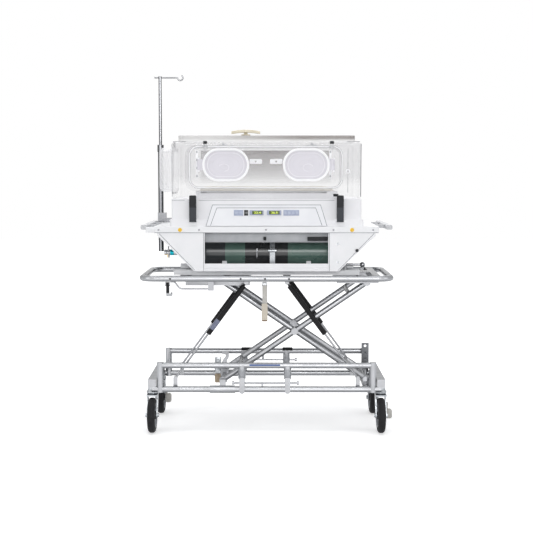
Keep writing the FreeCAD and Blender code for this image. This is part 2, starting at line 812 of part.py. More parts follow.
# scissor lift
def lift_arms(name, label, y, own_pins):
    """Two parallel tubes with an eye at each pivot and a tie tube near each end."""
    pieces = []
    for side in (-1, 1):
        pieces.append(rod(name + "Tube", "arm_tube / 2 - arm_eye_proud", "arm_length", "0",
                          f"{side} * {y}", "0", "X"))
        for x in ("0", "arm_length / 2", "arm_length"):
            pieces.append(across(name + "Eye", "arm_eye / 2", "arm_tube", x,
                                 f"{side} * {y}", "0"))
    for x in ("tie_inset", "arm_length - tie_inset"):
        pieces.append(across(name + "Tie", "tie_tube / 2", f"2 * {y}", x, "0", "0"))
    spans = ["0", "arm_length"]
    if not own_pins:
        spans.append("arm_length / 2")
    body = fuse(name + "Solid", pieces)
    bores = [
        across(name + "Bore", PIN_BORE, "arm_tube + 4", x, f"{side} * {y}", "0")
        for x in spans for side in (-1, 1)
    ]
    body = cut(name + "Bored", body, fuse(name + "Bores", bores))
    if own_pins:
        inner = "(inner_arm_y)"
        outer = "(outer_arm_y + arm_tube / 2 + seat_gap)"
        pins = []
        for side in (-1, 1):
            pins.append(across("MidPin", PIN, f"{outer} - {inner}", "arm_length / 2",
                               f"{side} * ({inner} + {outer}) / 2", "0"))
            pins.append(across("MidHead", "pivot_head / 2", "pivot_head_thick",
                               "arm_length / 2",
                               f"{side} * ({outer} + pivot_head_thick / 2)", "0"))
            space = "outer_arm_y - inner_arm_y - arm_tube - seat_gap"
            pins.append(across("MidWasher", "pivot_head / 2", space, "arm_length / 2",
                               f"{side} * (inner_arm_y + arm_tube / 2 + ({space}) / 2)", "0"))
        body = fuse(name + "Pinned", [body] + pins)
    return node(label, body)


def lower_carriage():
    """Two sleeves on the lower rails, the shaft between them and the lock hook on it."""
    z = "base_pivot_height"
    pieces = []
    hook = plate("LockHook", [
        ("-16", "-38"), ("12", "-38"), ("12", "60"), ("20", "74"), ("20", "102"),
        ("-10", "102"), ("-10", "90"), ("6", "86"), ("6", "78"), ("-4", "66"),
        ("-16", "40"),
    ], "hook_thick")
    pieces.append(place(hook, LEFT_END, "hook_thick / 2", z))
    bridge_in = "(outer_arm_y + arm_tube / 2 + seat_gap)"
    pieces.append(across("CarriageShaft", PIN, f"2 * ({bridge_in} + 3)", LEFT_END, "0", z))
    for side in (-1, 1):
        y = f"{side} * base_half_width"
        pieces.append(rod("Sleeve", "sleeve_diameter / 2", "sleeve_long",
                          f"{LEFT_END} - sleeve_long / 2", y, "lower_rail_height", "X"))
        pieces.append(box("Bridge", "bridge_wide", f"base_half_width - {bridge_in}",
                          "bridge_high", LEFT_END,
                          f"{side} * (base_half_width + {bridge_in}) / 2",
                          f"{z} + {PIN} - bridge_high"))
    body = fuse("CarriageSolid", pieces)
    bores = [
        rod("SleeveBore", f"{TUBE} + running_fit", "sleeve_long + 2",
            f"{LEFT_END} - sleeve_long / 2 - 1", f"{side} * base_half_width",
            "lower_rail_height", "X")
        for side in (-1, 1)
    ]
    node("lower_carriage", cut("LowerCarriage", body, fuse("SleeveBores", bores)))


ROLLER_IN = "(inner_arm_y + arm_tube / 2 + 2)"


def upper_carriage():
    """The shaft that carries the upper ends of the inner arms on two rollers."""
    pieces = [across("UpperShaft", PIN, f"2 * ({ROLLER_IN} + roller_wide)", LEFT_END, "0",
                     DECK_PIVOT)]
    for side in (-1, 1):
        pieces.append(across("Roller", "roller_diameter / 2", "roller_wide", LEFT_END,
                             f"{side} * ({ROLLER_IN} + roller_wide / 2)", DECK_PIVOT))
    node("upper_carriage", fuse("UpperCarriage", pieces))


# gas struts
STRUT_FALL = f"({STRUT_TOP} - strut_foot_height)"
STRUT_RUN = "(strut_foot_x - strut_top_x)"
STRUT_LONG = f"sqrt({STRUT_FALL} ^ 2 + {STRUT_RUN} ^ 2)"
STRUT_LEAN = f"atan({STRUT_RUN} / {STRUT_FALL})"


def struts(word, end):
    """The tubes and the rods of the gas struts on one end, each a front and rear pair."""
    tubes, bars = [], []
    for side in (-1, 1):
        y = f"{side} * {STRUT_Y}"
        tube = fuse("StrutTubeSolid", [
            across("TopEye", "strut_eye / 2", "strut_eye_thick", "0", "0", "0"),
            rod("TopNeck", "strut_eye_thick / 2 - 0.6", "strut_neck", "0", "0", "-strut_neck"),
            rod("StrutTube", "strut_tube / 2", "strut_tube_long - strut_neck + 2", "0", "0",
                "-strut_tube_long"),
        ])
        hollow = fuse("StrutHollow", [
            across("TopEyeBore", "strut_pin / 2 + running_fit", "strut_eye_thick + 2", "0",
                   "0", "0"),
            rod("RodBore", "strut_rod / 2 + running_fit", "strut_bore_long", "0", "0",
                "-strut_tube_long - 1"),
        ])
        hung = cut("StrutTubeBored", tube, hollow)
        bar = fuse("StrutBar", [
            rod("StrutRod", "strut_rod / 2",
                f"{STRUT_LONG} - strut_tube_long + strut_overlap - strut_eye / 4", "0", "0",
                f"-{STRUT_LONG} + strut_eye / 4"),
            across("FootEye", "strut_eye / 2", "strut_eye_thick", "0", "0",
                   f"-{STRUT_LONG}"),
        ])
        bar = cut("StrutBarBored", bar, across("FootEyeBore", "strut_pin / 2",
                                               "strut_eye_thick + 2", "0", "0",
                                               f"-{STRUT_LONG}"))
        for piece in (hung, bar):
            place(piece, f"{end} * strut_top_x", y, STRUT_TOP, (0, -end, 0), STRUT_LEAN)
        tubes.append(hung)
        bars.append(bar)
    node(f"{word}_strut_cylinders", together(f"{word}Tubes", tubes))
    node(f"{word}_strut_rods", together(f"{word}Rods", bars))


# deck
def ears(x, name):
    """Two ears with a pin under the front rail that a lever hangs from."""
    y = "-deck_half_wide"
    z = f"({DECK} - {TUBE} - lever_pin_drop)"
    gap = "(lever_bar_wide / 2 + seat_gap)"
    pieces = []
    for side in (-1, 1):
        ear_x = f"{x} + {side} * ({gap} + lever_ear_thick / 2) - lever_ear_thick / 2"
        pieces.append(rod(name + "Ear", "8", "lever_ear_thick", ear_x, y, z, "X"))
        pieces.append(box(name + "EarWeb", "lever_ear_thick", "16",
                          f"lever_pin_drop + {TUBE} / 2",
                          f"{ear_x} + lever_ear_thick / 2", y, z))
    half = f"({gap} + lever_ear_thick)"
    pieces.append(rod(name + "Pin", "lever_pin / 2", f"2 * {half}", f"{x} - {half}", y, z,
                      "X"))
    return pieces


def deck_rail():
    """The polished tube loop round the deck, with the ears that the front levers hang from."""
    straight_long = "2 * (deck_half_long - deck_bend)"
    straight_wide = "2 * (deck_half_wide - deck_bend)"
    pieces = []
    for side in (-1, 1):
        pieces.append(rod("LongRail", TUBE, straight_long, "-deck_half_long + deck_bend",
                          f"{side} * deck_half_wide", DECK, "X"))
        pieces.append(rod("EndRail", TUBE, straight_wide, f"{side} * deck_half_long",
                          "-deck_half_wide + deck_bend", DECK, "Y"))
    for quarter, (x_end, y_end) in enumerate(((1, 1), (-1, 1), (-1, -1), (1, -1))):
        bend = doc.addObject("Part::Torus", "RailBend")
        bind(bend, "Radius1", "deck_bend")
        bind(bend, "Radius2", TUBE)
        bend.Angle3 = 90
        turn = FreeCAD.Rotation(FreeCAD.Vector(0, 0, 1), 90 * quarter)
        bend.Placement = FreeCAD.Placement(FreeCAD.Vector(), turn)
        pieces.append(place(bend, f"{x_end} * (deck_half_long - deck_bend)",
                            f"{y_end} * (deck_half_wide - deck_bend)", DECK))
    pieces += ears("-height_lever_x", "Height")
    pieces += ears("-release_lever_x", "Release")
    return node("deck_rail", fuse("DeckRail", pieces))


def track(side):
    """The channel that a roller of the upper carriage runs in."""
    long = "track_left + track_right"
    x = f"{LEFT_END} + (track_right - track_left) / 2"
    inside = "(roller_diameter / 2 + seat_gap)"
    web_y = f"({ROLLER_IN} + roller_wide + seat_gap + track_wall / 2)"
    flange_deep = f"({web_y} + track_wall / 2 - {ROLLER_IN} - 1)"
    flange_y = f"({web_y} + track_wall / 2 - {flange_deep} / 2)"
    return [
        box("TrackWeb", long, "track_wall", f"2 * ({inside} + track_wall)", x,
            f"{side} * {web_y}", f"{DECK_PIVOT} - {inside} - track_wall"),
        box("TrackTop", long, flange_deep, "track_wall", x, f"{side} * {flange_y}",
            f"{DECK_PIVOT} + {inside}"),
        box("TrackFoot", long, flange_deep, "track_wall", x, f"{side} * {flange_y}",
            f"{DECK_PIVOT} - {inside} - track_wall"),
    ]


def deck_lugs(side):
    """The ears for the outer arms and the struts of one side, with their pins."""
    pieces = []
    z = DECK_PIVOT
    reach = f"({RIGHT_BEAM} + beam_wide / 2)"
    for step, left in ((-1, "(pivot_x - arm_eye / 2)"), (1, "side_plate_left")):
        y = f"{side} * (outer_arm_y + {step} * (arm_tube / 2 + seat_gap + lug_thick / 2))"
        pieces.append(box("SidePlate", f"{reach} - {left}", "lug_thick", "side_plate_high",
                          f"({reach} + {left}) / 2", y, f"{DECK} - side_plate_high"))
        pieces += lug("PivotEar", "arm_eye / 2", "lug_thick", "pivot_x", y, z,
                      f"{z} - {DECK}")
    half = "(arm_tube / 2 + seat_gap + lug_thick)"
    pieces.append(across("DeckPin", PIN, f"2 * {half} + 4", "pivot_x",
                         f"{side} * outer_arm_y", z))
    for end in (-1, 1):
        for step in (-1, 1):
            y = (f"{side} * ({STRUT_Y} + {step} * (strut_eye_thick / 2 + seat_gap"
                 " + strut_lug_thick / 2))")
            pieces += lug("StrutEar", "strut_eye / 2", "strut_lug_thick",
                          f"{end} * strut_top_x", y, STRUT_TOP, f"{STRUT_TOP} - {DECK}")
        pieces.append(across("StrutPin", "strut_pin / 2",
                             "strut_eye_thick + 2 * (seat_gap + strut_lug_thick)",
                             f"{end} * strut_top_x", f"{side} * {STRUT_Y}", STRUT_TOP))
    return pieces


def deck_frame(rail):
    """Four cross beams coped to the loop, the roller channels, the side plates and the lugs."""
    pieces = []
    for x in (LEFT_BEAM, "-strut_top_x", "strut_top_x", RIGHT_BEAM):
        pieces.append(box("Beam", "beam_wide", "2 * (deck_half_wide - beam_cope)",
                          "frame_tube", x, "0", f"{DECK} - {TUBE}"))
    reach = f"({RIGHT_BEAM} + beam_wide / 2)"
    pieces.append(box("LatchPlate", f"{reach} - latch_plate_left", "latch_plate_wide",
                      "latch_plate_thick", f"({reach} + latch_plate_left) / 2", "0",
                      f"{DECK_TOP} - latch_plate_thick"))
    pieces.append(rod("LatchPost", "latch_post_diameter / 2", "latch_post_high",
                      "latch_pivot_x", "0", DECK_TOP))
    pieces.append(rod("LatchPin", "4", "latch_arm_diameter + 4", "latch_pivot_x", "0",
                      f"{DECK_TOP} + latch_post_high"))
    for side in (-1, 1):
        pieces.append(box("Longeron", f"{reach} - {LEFT_BEAM} + beam_wide / 2",
                          "longeron_wide", "longeron_high",
                          f"({reach} + {LEFT_BEAM} - beam_wide / 2) / 2",
                          f"{side} * longeron_y", f"{DECK} - {TUBE}"))
        pieces += track(side) + deck_lugs(side)
    body = fuse("DeckBeams", pieces)
    node("deck_frame", cut("DeckFrame", body, rail))


def hanging_lever(name, x, long):
    """The eye and the flat bar of a lever that hangs from its ears, with the eye's bore."""
    y = "-deck_half_wide"
    z = f"({DECK} - {TUBE} - lever_pin_drop)"
    eye = rod(name + "Eye", "8", "lever_bar_wide", f"{x} - lever_bar_wide / 2", y, z, "X")
    bar = box(name + "Bar", "lever_bar_wide", "lever_bar_deep", long, x, y, f"{z} - ({long})")
    bore = rod(name + "Bore", "lever_pin / 2 + running_fit", "lever_bar_wide + 2",
               f"{x} - lever_bar_wide / 2 - 1", y, z, "X")
    return [eye, bar], bore, y, z


def height_lever():
    """The long hand lever in the middle of the front rail, with a flat grip."""
    x = "-height_lever_x"
    pieces, bore, y, z = hanging_lever("Height", x, "height_lever_long - 20")
    grip = box("HeightGrip", "height_grip_wide", "lever_bar_deep + 5", "height_grip_long", x, y,
               f"{z} - height_lever_long")
    grip = rounded("HeightGripRound", grip, "6", lambda edge: runs(edge, (0, 1, 0)))
    node("height_lever", cut("HeightLever", fuse("HeightSolid", pieces + [grip]), bore))


def release_lever():
    """The short black lever at the left of the front rail, with a hooked foot."""
    x = "-release_lever_x"
    pieces, bore, y, z = hanging_lever("Release", x, "release_lever_long")
    foot = rod("ReleaseFoot", "5", "24", f"{x} - 6", y, f"{z} - release_lever_long", "X")
    tip = rod("ReleaseTip", "4", "10", f"{x} + 16", y, f"{z} - release_lever_long")
    body = fuse("ReleaseSolid", pieces + [foot, tip])
    node("release_lever", cut("ReleaseLever", body, bore))


def release_linkage():
    """The bent pull rod behind the front rail and the guide block on its end."""
    y = value("-linkage_y")
    high = value(f"{DECK} - {TUBE} - linkage_rod / 2")
    low = value(f"{DECK} - {TUBE} - linkage_rod / 2") - value("linkage_drop")
    left, knee = value("-linkage_left"), value("-linkage_knee")
    right = value("-linkage_right")
    start = left - value("2 * linkage_rod")
    points = [(start, y, high), (left, y, high), (knee, y, low), (right, y, low)]
    tube = bent_tube(points, value("linkage_rod / 2"), 0.3)[0]
    rod_piece = doc.addObject("Part::Feature", "LinkageRod")
    rod_piece.Shape = tube
    block = box("LinkageBlock", "linkage_block", "linkage_block * 0.8",
                f"{DECK} - {TUBE} - ({low}) + linkage_rod", "-linkage_right", "-linkage_y",
                f"({low}) - linkage_rod")
    node("release_linkage", fuse("ReleaseLinkage", [rod_piece, block]))


def docking_latch():
    """The undocking handle: an arm on a post of the deck, with a round knob."""
    x, z = "latch_pivot_x", f"({DECK_TOP} + latch_post_high + seat_gap)"
    hub = rod("LatchHub", "latch_post_diameter / 2", "latch_arm_diameter", x, "0", z)
    arm = rod("LatchArm", "latch_arm_diameter / 2 - 1", "latch_arm_long", x, "0",
              f"{z} + latch_arm_diameter / 2", "X")
    knob = doc.addObject("Part::Sphere", "LatchKnob")
    bind(knob, "Radius", "latch_knob_diameter / 2")
    place(knob, f"{x} + latch_arm_long", "0", f"{z} + latch_arm_diameter / 2")
    bore = rod("LatchBore", "4 + running_fit", "latch_arm_diameter + 2", x, "0", f"{z} - 1")
    node("docking_latch", cut("DockingLatch", fuse("LatchSolid", [hub, arm, knob]), bore))


# tray, bay and gas supply
def tray():
    """The folded sheet tray between the bay and the housing, open underneath."""
    outer = box("TrayOuter", "2 * tray_half_long", "2 * tray_half_deep", "tray_height", "0",
                "0", TRAY)
    outer = rounded("TrayRound", outer, "5", lambda edge: runs(edge, (0, 0, 1)))
    inner = box("TrayInner", "2 * (tray_half_long - sheet_thick)",
                "2 * (tray_half_deep - sheet_thick)", "tray_height - sheet_thick + 1", "0", "0",
                f"{TRAY} - 1")
    node("tray", cut("Tray", outer, inner))


def side_handles():
    """A carrying bar along each end of the tray, on two arms."""
    handles = []
    z = f"({PLINTH} - handle_drop)"
    for end in (-1, 1):
        bar = box("HandleBar", "handle_wide", "2 * handle_half_long", "handle_high",
                  f"{end} * handle_x", "0", z)
        bar = rounded("HandleBarRound", bar, "handle_round",
                      lambda edge: runs(edge, (0, 1, 0)))
        arms = [
            box("HandleArm", "handle_x - tray_half_long", "handle_arm_wide",
                "handle_high - 6", f"{end} * (handle_x + tray_half_long) / 2",
                f"{side} * handle_arm_y", f"{z} + 3")
            for side in (-1, 1)
        ]
        handles.append(fuse("Handle", [bar] + arms))
    node("side_handles", together("SideHandles", handles))


def gas_bodies(radius, name):
    """A plain bar in the place of each gas cylinder, used to cut the cradles."""
    return [
        rod(name, radius, "gas_left + gas_right", "-gas_left", f"{side} * gas_y", GAS, "X")
        for side in (-1, 1)
    ]


def bay_frame():
    """The floor, lips and posts of the cylinder bay, its runners and the cylinder cradles."""
    pieces = [box("BayFloor", "2 * bay_half_long", "2 * bay_half_deep", "sheet_thick", "0",
                  "0", BAY)]
    for side in (-1, 1):
        pieces.append(box("BayLip", "2 * bay_window_half", "sheet_thick", "bay_lip_high", "0",
                          f"{side} * (bay_half_deep - sheet_thick / 2)", BAY))
        pieces.append(box("Runner", "2 * runner_half_long", "runner_wide", "runner_height",
                          "0", f"{side} * runner_y", DECK_TOP))
        for end in (-1, 1):
            pieces.append(box("BayPost", "bay_post", "bay_post", "bay_height",
                              f"{end} * bay_post_x", f"{side} * bay_post_y", BAY))
    for end in (-1, 1):
        pieces.append(box("Cradle", "cradle_wide", "2 * gas_y + gas_diameter * 0.8",
                          "cradle_high", f"{end} * cradle_x", "0", f"{BAY} + sheet_thick"))
    body = fuse("BaySolid", pieces)
    node("bay_frame", cut("BayFrame", body,
                          fuse("GasSpace", gas_bodies("gas_diameter / 2", "GasSpaceBar"))))


def bay_cheeks():
    """The four folded side plates that hide the ends of the bay, front and rear."""
    cheeks = []
    foot, top = BAY, TRAY
    for side in (-1, 1):
        face = "(bay_half_deep + sheet_thick)" if side > 0 else "-bay_half_deep"
        for end in (-1, 1):
            wall = plate("Cheek", [
                (f"{end} * bay_window_half", foot), (f"{end} * cheek_foot_x", foot),
                (f"{end} * cheek_top_x", f"{top} - cheek_top_drop"),
                (f"{end} * cheek_top_x", top), (f"{end} * bay_window_half", top),
            ], "sheet_thick")
            place(wall, "0", face, "0")
            flange = box("CheekFlange", "sheet_thick", "cheek_flange",
                         "bay_height - bay_lip_high",
                         f"{end} * (bay_window_half + sheet_thick / 2)",
                         f"{side} * (bay_half_deep - cheek_flange / 2 + sheet_thick)",
                         f"{BAY} + bay_lip_high")
            cheeks.append(fuse("CheekFolded", [wall, flange]))
    node("bay_cheeks", together("BayCheeks", cheeks))


def gas_cylinder(word, side):
    """A gas cylinder with a domed shoulder, a neck and a valve at its left end."""
    r, neck = "gas_diameter / 2", "gas_neck_diameter / 2"
    long = "gas_left + gas_right"
    body = turned("Gas" + word, [
        ("0", "-gas_neck_long - valve_long"), ("valve_diameter / 2 - 4",
                                                "-gas_neck_long - valve_long"),
        ("valve_diameter / 2", "-gas_neck_long - valve_long + 4"),
        ("valve_diameter / 2", "-gas_neck_long"), (neck, "-gas_neck_long"), (neck, "0"),
        (f"{r} * 0.62", "gas_shoulder * 0.2"), (f"{r} * 0.88", "gas_shoulder * 0.55"),
        (r, "gas_shoulder"), (r, f"{long} - 14"), (f"{r} - 4", f"{long} - 4"),
        (f"{r} - 12", long), ("0", long),
    ], "-gas_left", f"{side} * gas_y", GAS, "X")
    node(f"gas_cylinder_{word}", body)


VALVE_END = "(gas_left + gas_neck_long + valve_long)"


def regulator():
    """The pressure regulator on the front cylinder: barrel, collars, knob stem and outlets."""
    y, r = "-gas_y", "regulator_diameter / 2"
    collar = "regulator_collar / 2"
    barrel = turned("Barrel", [
        ("0", "0"), (f"{r} - 3", "0"), (f"{r} - 1", "2"), (f"{r} - 1", "10"),
        (f"{r} - 4", "12"), (f"{r} - 4", "22"), (r, "24"),
        (r, "regulator_long - regulator_collar_long - 3"),
        (collar, "regulator_long - regulator_collar_long"), (collar, "regulator_long"),
        ("0", "regulator_long"),
    ], f"-{VALVE_END} - regulator_long", y, GAS, "X")
    stem = rod("KnobStem", "knob_stem / 2", f"{r} + knob_stem_high + knob_high / 2", "-knob_x",
               y, GAS)
    outlet = rod("Outlet", "fitting_diameter / 2", f"{r} + fitting_drop - 6", "-fitting_x", y,
                 f"{GAS} - {r} - fitting_drop + 6")
    spigot = rod("HoseSpigot", "hose_diameter / 2 + 1.5", f"{r} + spigot_rise", "-fitting_x", y,
                 GAS)
    node("regulator", fuse("Regulator", [barrel, stem, outlet, spigot]))


def regulator_knob():
    """The turning knob above the regulator, ribbed round its edge."""
    r = "knob_diameter / 2"
    foot = f"({GAS} + regulator_diameter / 2 + knob_stem_high)"
    body = turned("Knob", [
        ("knob_stem / 2 + running_fit", "0"), (f"{r} - 2", "0"), (r, "2"),
        (r, "knob_high - 3"), (f"{r} - 3", "knob_high"), ("0", "knob_high"),
        ("0", "knob_high / 2 + 0.5"), ("knob_stem / 2 + running_fit", "knob_high / 2 + 0.5"),
    ], "-knob_x", "-gas_y", foot)
    node("regulator_knob", body)


def gas_hose():
    """The hose from the regulator's spigot, out to the left and up to the tray's underside."""
    x, y = value("-fitting_x"), value("-gas_y")
    foot = value(f"{GAS} + regulator_diameter / 2 + spigot_rise")
    rise = value(f"{PLINTH} - sheet_thick - seat_gap - hose_diameter * 0.2") - foot
    route = ((0, 0, 0), (0, 0, 0.14), (-7, -2, 0.296), (-19, -5, 0.413), (-28, -8, 0.561),
             (-30, -11, 0.722), (-28, -13, 0.872), (-22, -14, 1))
    points = [(x + left, y + out, foot + rise * up) for left, out, up in route]
    tube, path = bent_tube(points, value("hose_diameter / 2"))
    print("hose length", round(path.Length, 1))
    hose = doc.addObject("Part::Feature", "GasHose")
    hose.Shape = tube
    node("gas_hose", hose)


def cylinder_clamp():
    """The chrome strap over the front cylinder, its foot on the lip and its screw."""
    x, y = "clamp_x", "-gas_y"
    inner = "(gas_diameter / 2 + seat_gap)"
    ring = rod("StrapOuter", f"{inner} + clamp_thick", "clamp_wide", f"{x} - clamp_wide / 2", y,
               GAS, "X")
    hole = rod("StrapInner", inner, "clamp_wide + 2", f"{x} - clamp_wide / 2 - 1", y, GAS, "X")
    back = box("StrapBack", "clamp_wide + 4", "gas_diameter", "2 * gas_diameter", x,
               f"{y} + gas_diameter / 2 + 12", f"{GAS} - gas_diameter")
    strap = cut("Strap", cut("StrapRing", ring, hole), back)
    foot_y = "-(bay_half_deep - sheet_thick)"
    foot_deep = f"(bay_half_deep - sheet_thick - gas_y - {inner} * 0.94)"
    foot = box("ClampFoot", "clamp_foot_wide", foot_deep, "clamp_foot_wide * 0.6", x,
               f"{foot_y} + {foot_deep} / 2", f"{BAY} + sheet_thick")
    arm = box("ClampArm", "clamp_wide", "clamp_screw",
              f"{GAS} - ({BAY} + sheet_thick) + clamp_screw", x,
              f"{y} - {inner} - clamp_thick - clamp_screw / 2 + 2", f"{BAY} + sheet_thick")
    nut = rod("ClampNut", "clamp_screw / 2 + 2", "clamp_wide + 12",
              f"{x} - clamp_wide / 2 - 6", f"{y} - {inner} - clamp_thick - clamp_screw / 2",
              f"{GAS} + clamp_screw", "X")
    node("cylinder_clamp", fuse("CylinderClamp", [strap, foot, arm, nut]))


# places on the hood and its doors
HOOD_MID = "((hood_right - hood_left) / 2)"
HOOD_LONG = "(hood_left + hood_right)"
HOOD_FOOT = f"({HOOD} + seat_gap)"
DOOR_BACK = "(-hood_half_deep - seat_gap)"
DOOR_FRONT = f"({DOOR_BACK} - door_thick)"
DOOR_FOOT = f"({HOOD_FOOT} + door_foot)"
DOOR_MID = "((door_right - door_left) / 2)"
DOOR_LONG = "(door_left + door_right)"
PORT_Z = f"({DOOR_FOOT} + port_up)"
PORTS = {"left": (-1, "-port_left_x"), "right": (1, "port_right_x")}
RIM_FRONT = f"({DOOR_FRONT} - port_rim_deep)"
PORT_DOOR_BACK = f"({RIM_FRONT} - seat_gap)"
PORT_CATCH_Z = f"({PORT_Z} + 14)"
DOOR_HINGE_Y = f"({DOOR_BACK} - door_hinge / 2)"
DOOR_HINGE_Z = f"({DOOR_FOOT} - door_hinge / 2 - seat_gap)"
DOOR_BARREL = f"({DOOR_LONG} - 3 * door_round)"
CATCHES = {"left": (-1, "-catch_left_x"), "right": (1, "catch_right_x")}
CATCH_Z = f"({DOOR_FOOT} + door_height - catch_drop)"
HOOD_HINGE_Y = "(hood_half_deep + seat_gap + door_hinge / 2)"
HOOD_HINGE_Z = f"({HOOD} + door_hinge / 2 - 2)"
END_FOOT = f"({HOOD_FOOT} + end_door_foot)"
END_HINGE_X = "(-hood_left - seat_gap - end_hinge / 2)"
END_HINGE_Z = f"({END_FOOT} - end_hinge / 2 - seat_gap)"
END_CATCH_Z = f"({END_FOOT} + end_door_height + seat_gap + end_latch_long * 0.56)"


# housing, panel and bed
CLIP_BACK = "(-plinth_half_deep - seat_gap)"
CLIP_FOOT = f"({HOOD} - clip_high + clip_up)"
CLIP_PIN_Z = f"({CLIP_FOOT} + clip_thick / 2)"


def clip_ears(end):
    """The two ears and the pin that a hood clip turns on, on the front of the plinth."""
    pieces = []
    deep = "(seat_gap + clip_thick * 0.7)"
    half = "(clip_wide / 2 + seat_gap + clip_ear_thick)"
    for side in (-1, 1):
        x = f"{end} * clip_x + {side} * ({half} - clip_ear_thick / 2)"
        pieces.append(box("ClipEar", "clip_ear_thick", f"{deep} + 14", "12", x,
                          f"-plinth_half_deep - {deep} + ({deep} + 14) / 2",
                          f"{CLIP_PIN_Z} - 6"))
    pieces.append(rod("ClipPin", "clip_pin / 2", f"2 * {half}", f"{end} * clip_x - {half}",
                      f"{CLIP_BACK} - clip_thick / 2", CLIP_PIN_Z, "X"))
    return pieces


def housing():
    """The moulded housing of the control and heater unit, on its wider plinth."""
    plinth = box("PlinthBlock", "2 * plinth_half_long", "2 * plinth_half_deep",
                 "plinth_height", "0", "0", PLINTH)
    plinth = rounded("PlinthRound", plinth, "body_round", lambda edge: runs(edge, (0, 0, 1)))
    body = box("BodyBlock", "2 * body_half_long", "2 * body_half_deep", "body_height", "0",
               "0", BODY)
    body = rounded("BodyRound", body, "body_round", lambda edge: runs(edge, (0, 0, 1)))
    pieces = [plinth, body]
    arm_deep = f"({HOOD_HINGE_Y} + door_hinge / 2 - body_half_deep + 4)"
    for end in (-1, 1):
        pieces += knuckle_pair(
            "HoodKnuckle", "door_hinge / 2", "hood_hinge_long / 2", "door_pin / 2", "X",
            f"{end} * hood_hinge_x", HOOD_HINGE_Y, HOOD_HINGE_Z,
            lambda x: box("HoodKnuckleArm", "knuckle_long", arm_deep, "20", x,
                          f"body_half_deep - 4 + {arm_deep} / 2", f"{HOOD} - 20"))
        pieces += clip_ears(end)
    node("housing", fuse("Housing", pieces))


PANEL_FOOT = f"({PLINTH} + 3)"
PANEL_LEAN = "atan((panel_foot_deep - panel_head_deep) / panel_high)"


def on_panel(name, long, high, thick, x, up, sunk="0"):
    """A flat block on the sloping face of the panel, with its lower edge at a height on it."""
    block = doc.addObject("Part::Box", name)
    bind(block, "Length", long)
    bind(block, "Width", thick)
    bind(block, "Height", high)
    y = (f"-body_half_deep - panel_foot_deep + ({up}) * sin({PANEL_LEAN})"
         f" - ({thick} - {sunk}) * cos({PANEL_LEAN})")
    z = f"{PANEL_FOOT} + ({up}) * cos({PANEL_LEAN}) + ({thick} - {sunk}) * sin({PANEL_LEAN})"
    return place(block, f"{x} - ({long}) / 2", y, z, (-1, 0, 0), PANEL_LEAN)


def control_panel():
    """The sloping bezel on the front of the housing, with its raised keypad strip."""
    wedge = doc.addObject("Part::Wedge", "Bezel")
    bind(wedge, "Xmin", "-panel_foot_half")
    bind(wedge, "Xmax", "panel_foot_half")
    bind(wedge, "X2min", "-panel_head_half")
    bind(wedge, "X2max", "panel_head_half")
    wedge.Ymin = 0
    bind(wedge, "Ymax", "panel_high")
    wedge.Zmin = 0
    wedge.Z2min = 0
    bind(wedge, "Zmax", "panel_foot_deep")
    bind(wedge, "Z2max", "panel_head_deep")
    place(wedge, "0", "-body_half_deep", PANEL_FOOT, (1, 0, 0), "90")
    step = box("PlinthStep", "2 * panel_foot_half + 2", "plinth_half_deep",
               "plinth_height", "0", "-plinth_half_deep / 2", PLINTH)
    strip = on_panel("Keypad", "2 * keypad_half_long", "keypad_high", "keypad_thick", "0",
                     "keypad_up")
    bezel = cut("BezelFitted", wedge, step)
    node("control_panel", fuse("ControlPanel", [bezel, strip]))


def display_windows():
    """The two display windows, each a shallow block on the keypad strip."""
    windows = []
    for x in ("-window_left_x", "window_right_x"):
        windows.append(on_panel("Window", "window_long", "window_high", "window_thick", x,
                                "keypad_up + (keypad_high - window_high) / 2",
                                "-keypad_thick"))
    node("display_windows", together("DisplayWindows", windows))


def mattress_tray():
    """The white bed tray that holds the mattress above the housing."""
    foot = f"({HOOD} + seat_gap)"
    outer = box("BedOuter", "2 * bed_half_long", "2 * bed_half_deep", "bed_height", "0", "0",
                foot)
    outer = rounded("BedRound", outer, "12", lambda edge: runs(edge, (0, 0, 1)))
    inner = box("BedInner", "2 * (bed_half_long - bed_wall)",
                "2 * (bed_half_deep - bed_wall)", "bed_height", "0", "0",
                f"{foot} + bed_floor")
    node("mattress_tray", cut("MattressTray", outer, inner))


def mattress():
    """The flat foam mattress in the bed tray."""
    slack = "(bed_wall + mattress_gap)"
    pad = box("MattressBlock", f"2 * (bed_half_long - {slack})",
              f"2 * (bed_half_deep - {slack})", "mattress_thick", "0", "0",
              f"{HOOD} + seat_gap + bed_floor + seat_gap")
    node("mattress", rounded("Mattress", pad, "mattress_round",
                             lambda edge: not runs(edge, (0, 0, 1))))


# hood
def hood_block(name, inset, foot, round_size, corner_size):
    """The hood's outer or inner form: a block with round top edges and corners."""
    block = box(name + "Block", f"{HOOD_LONG} - 2 * {inset}",
                f"2 * (hood_half_deep - {inset})", f"{HOOD_FOOT} + hood_height - {inset} - {foot}",
                HOOD_MID, "0", foot)
    block = rounded(name + "Corners", block, corner_size, lambda e: runs(e, (0, 0, 1)))
    top = value(f"{HOOD_FOOT} + hood_height - {inset}")
    return rounded(name, block, round_size, lambda e: abs(e.CenterOfMass.z - top) < 0.01)


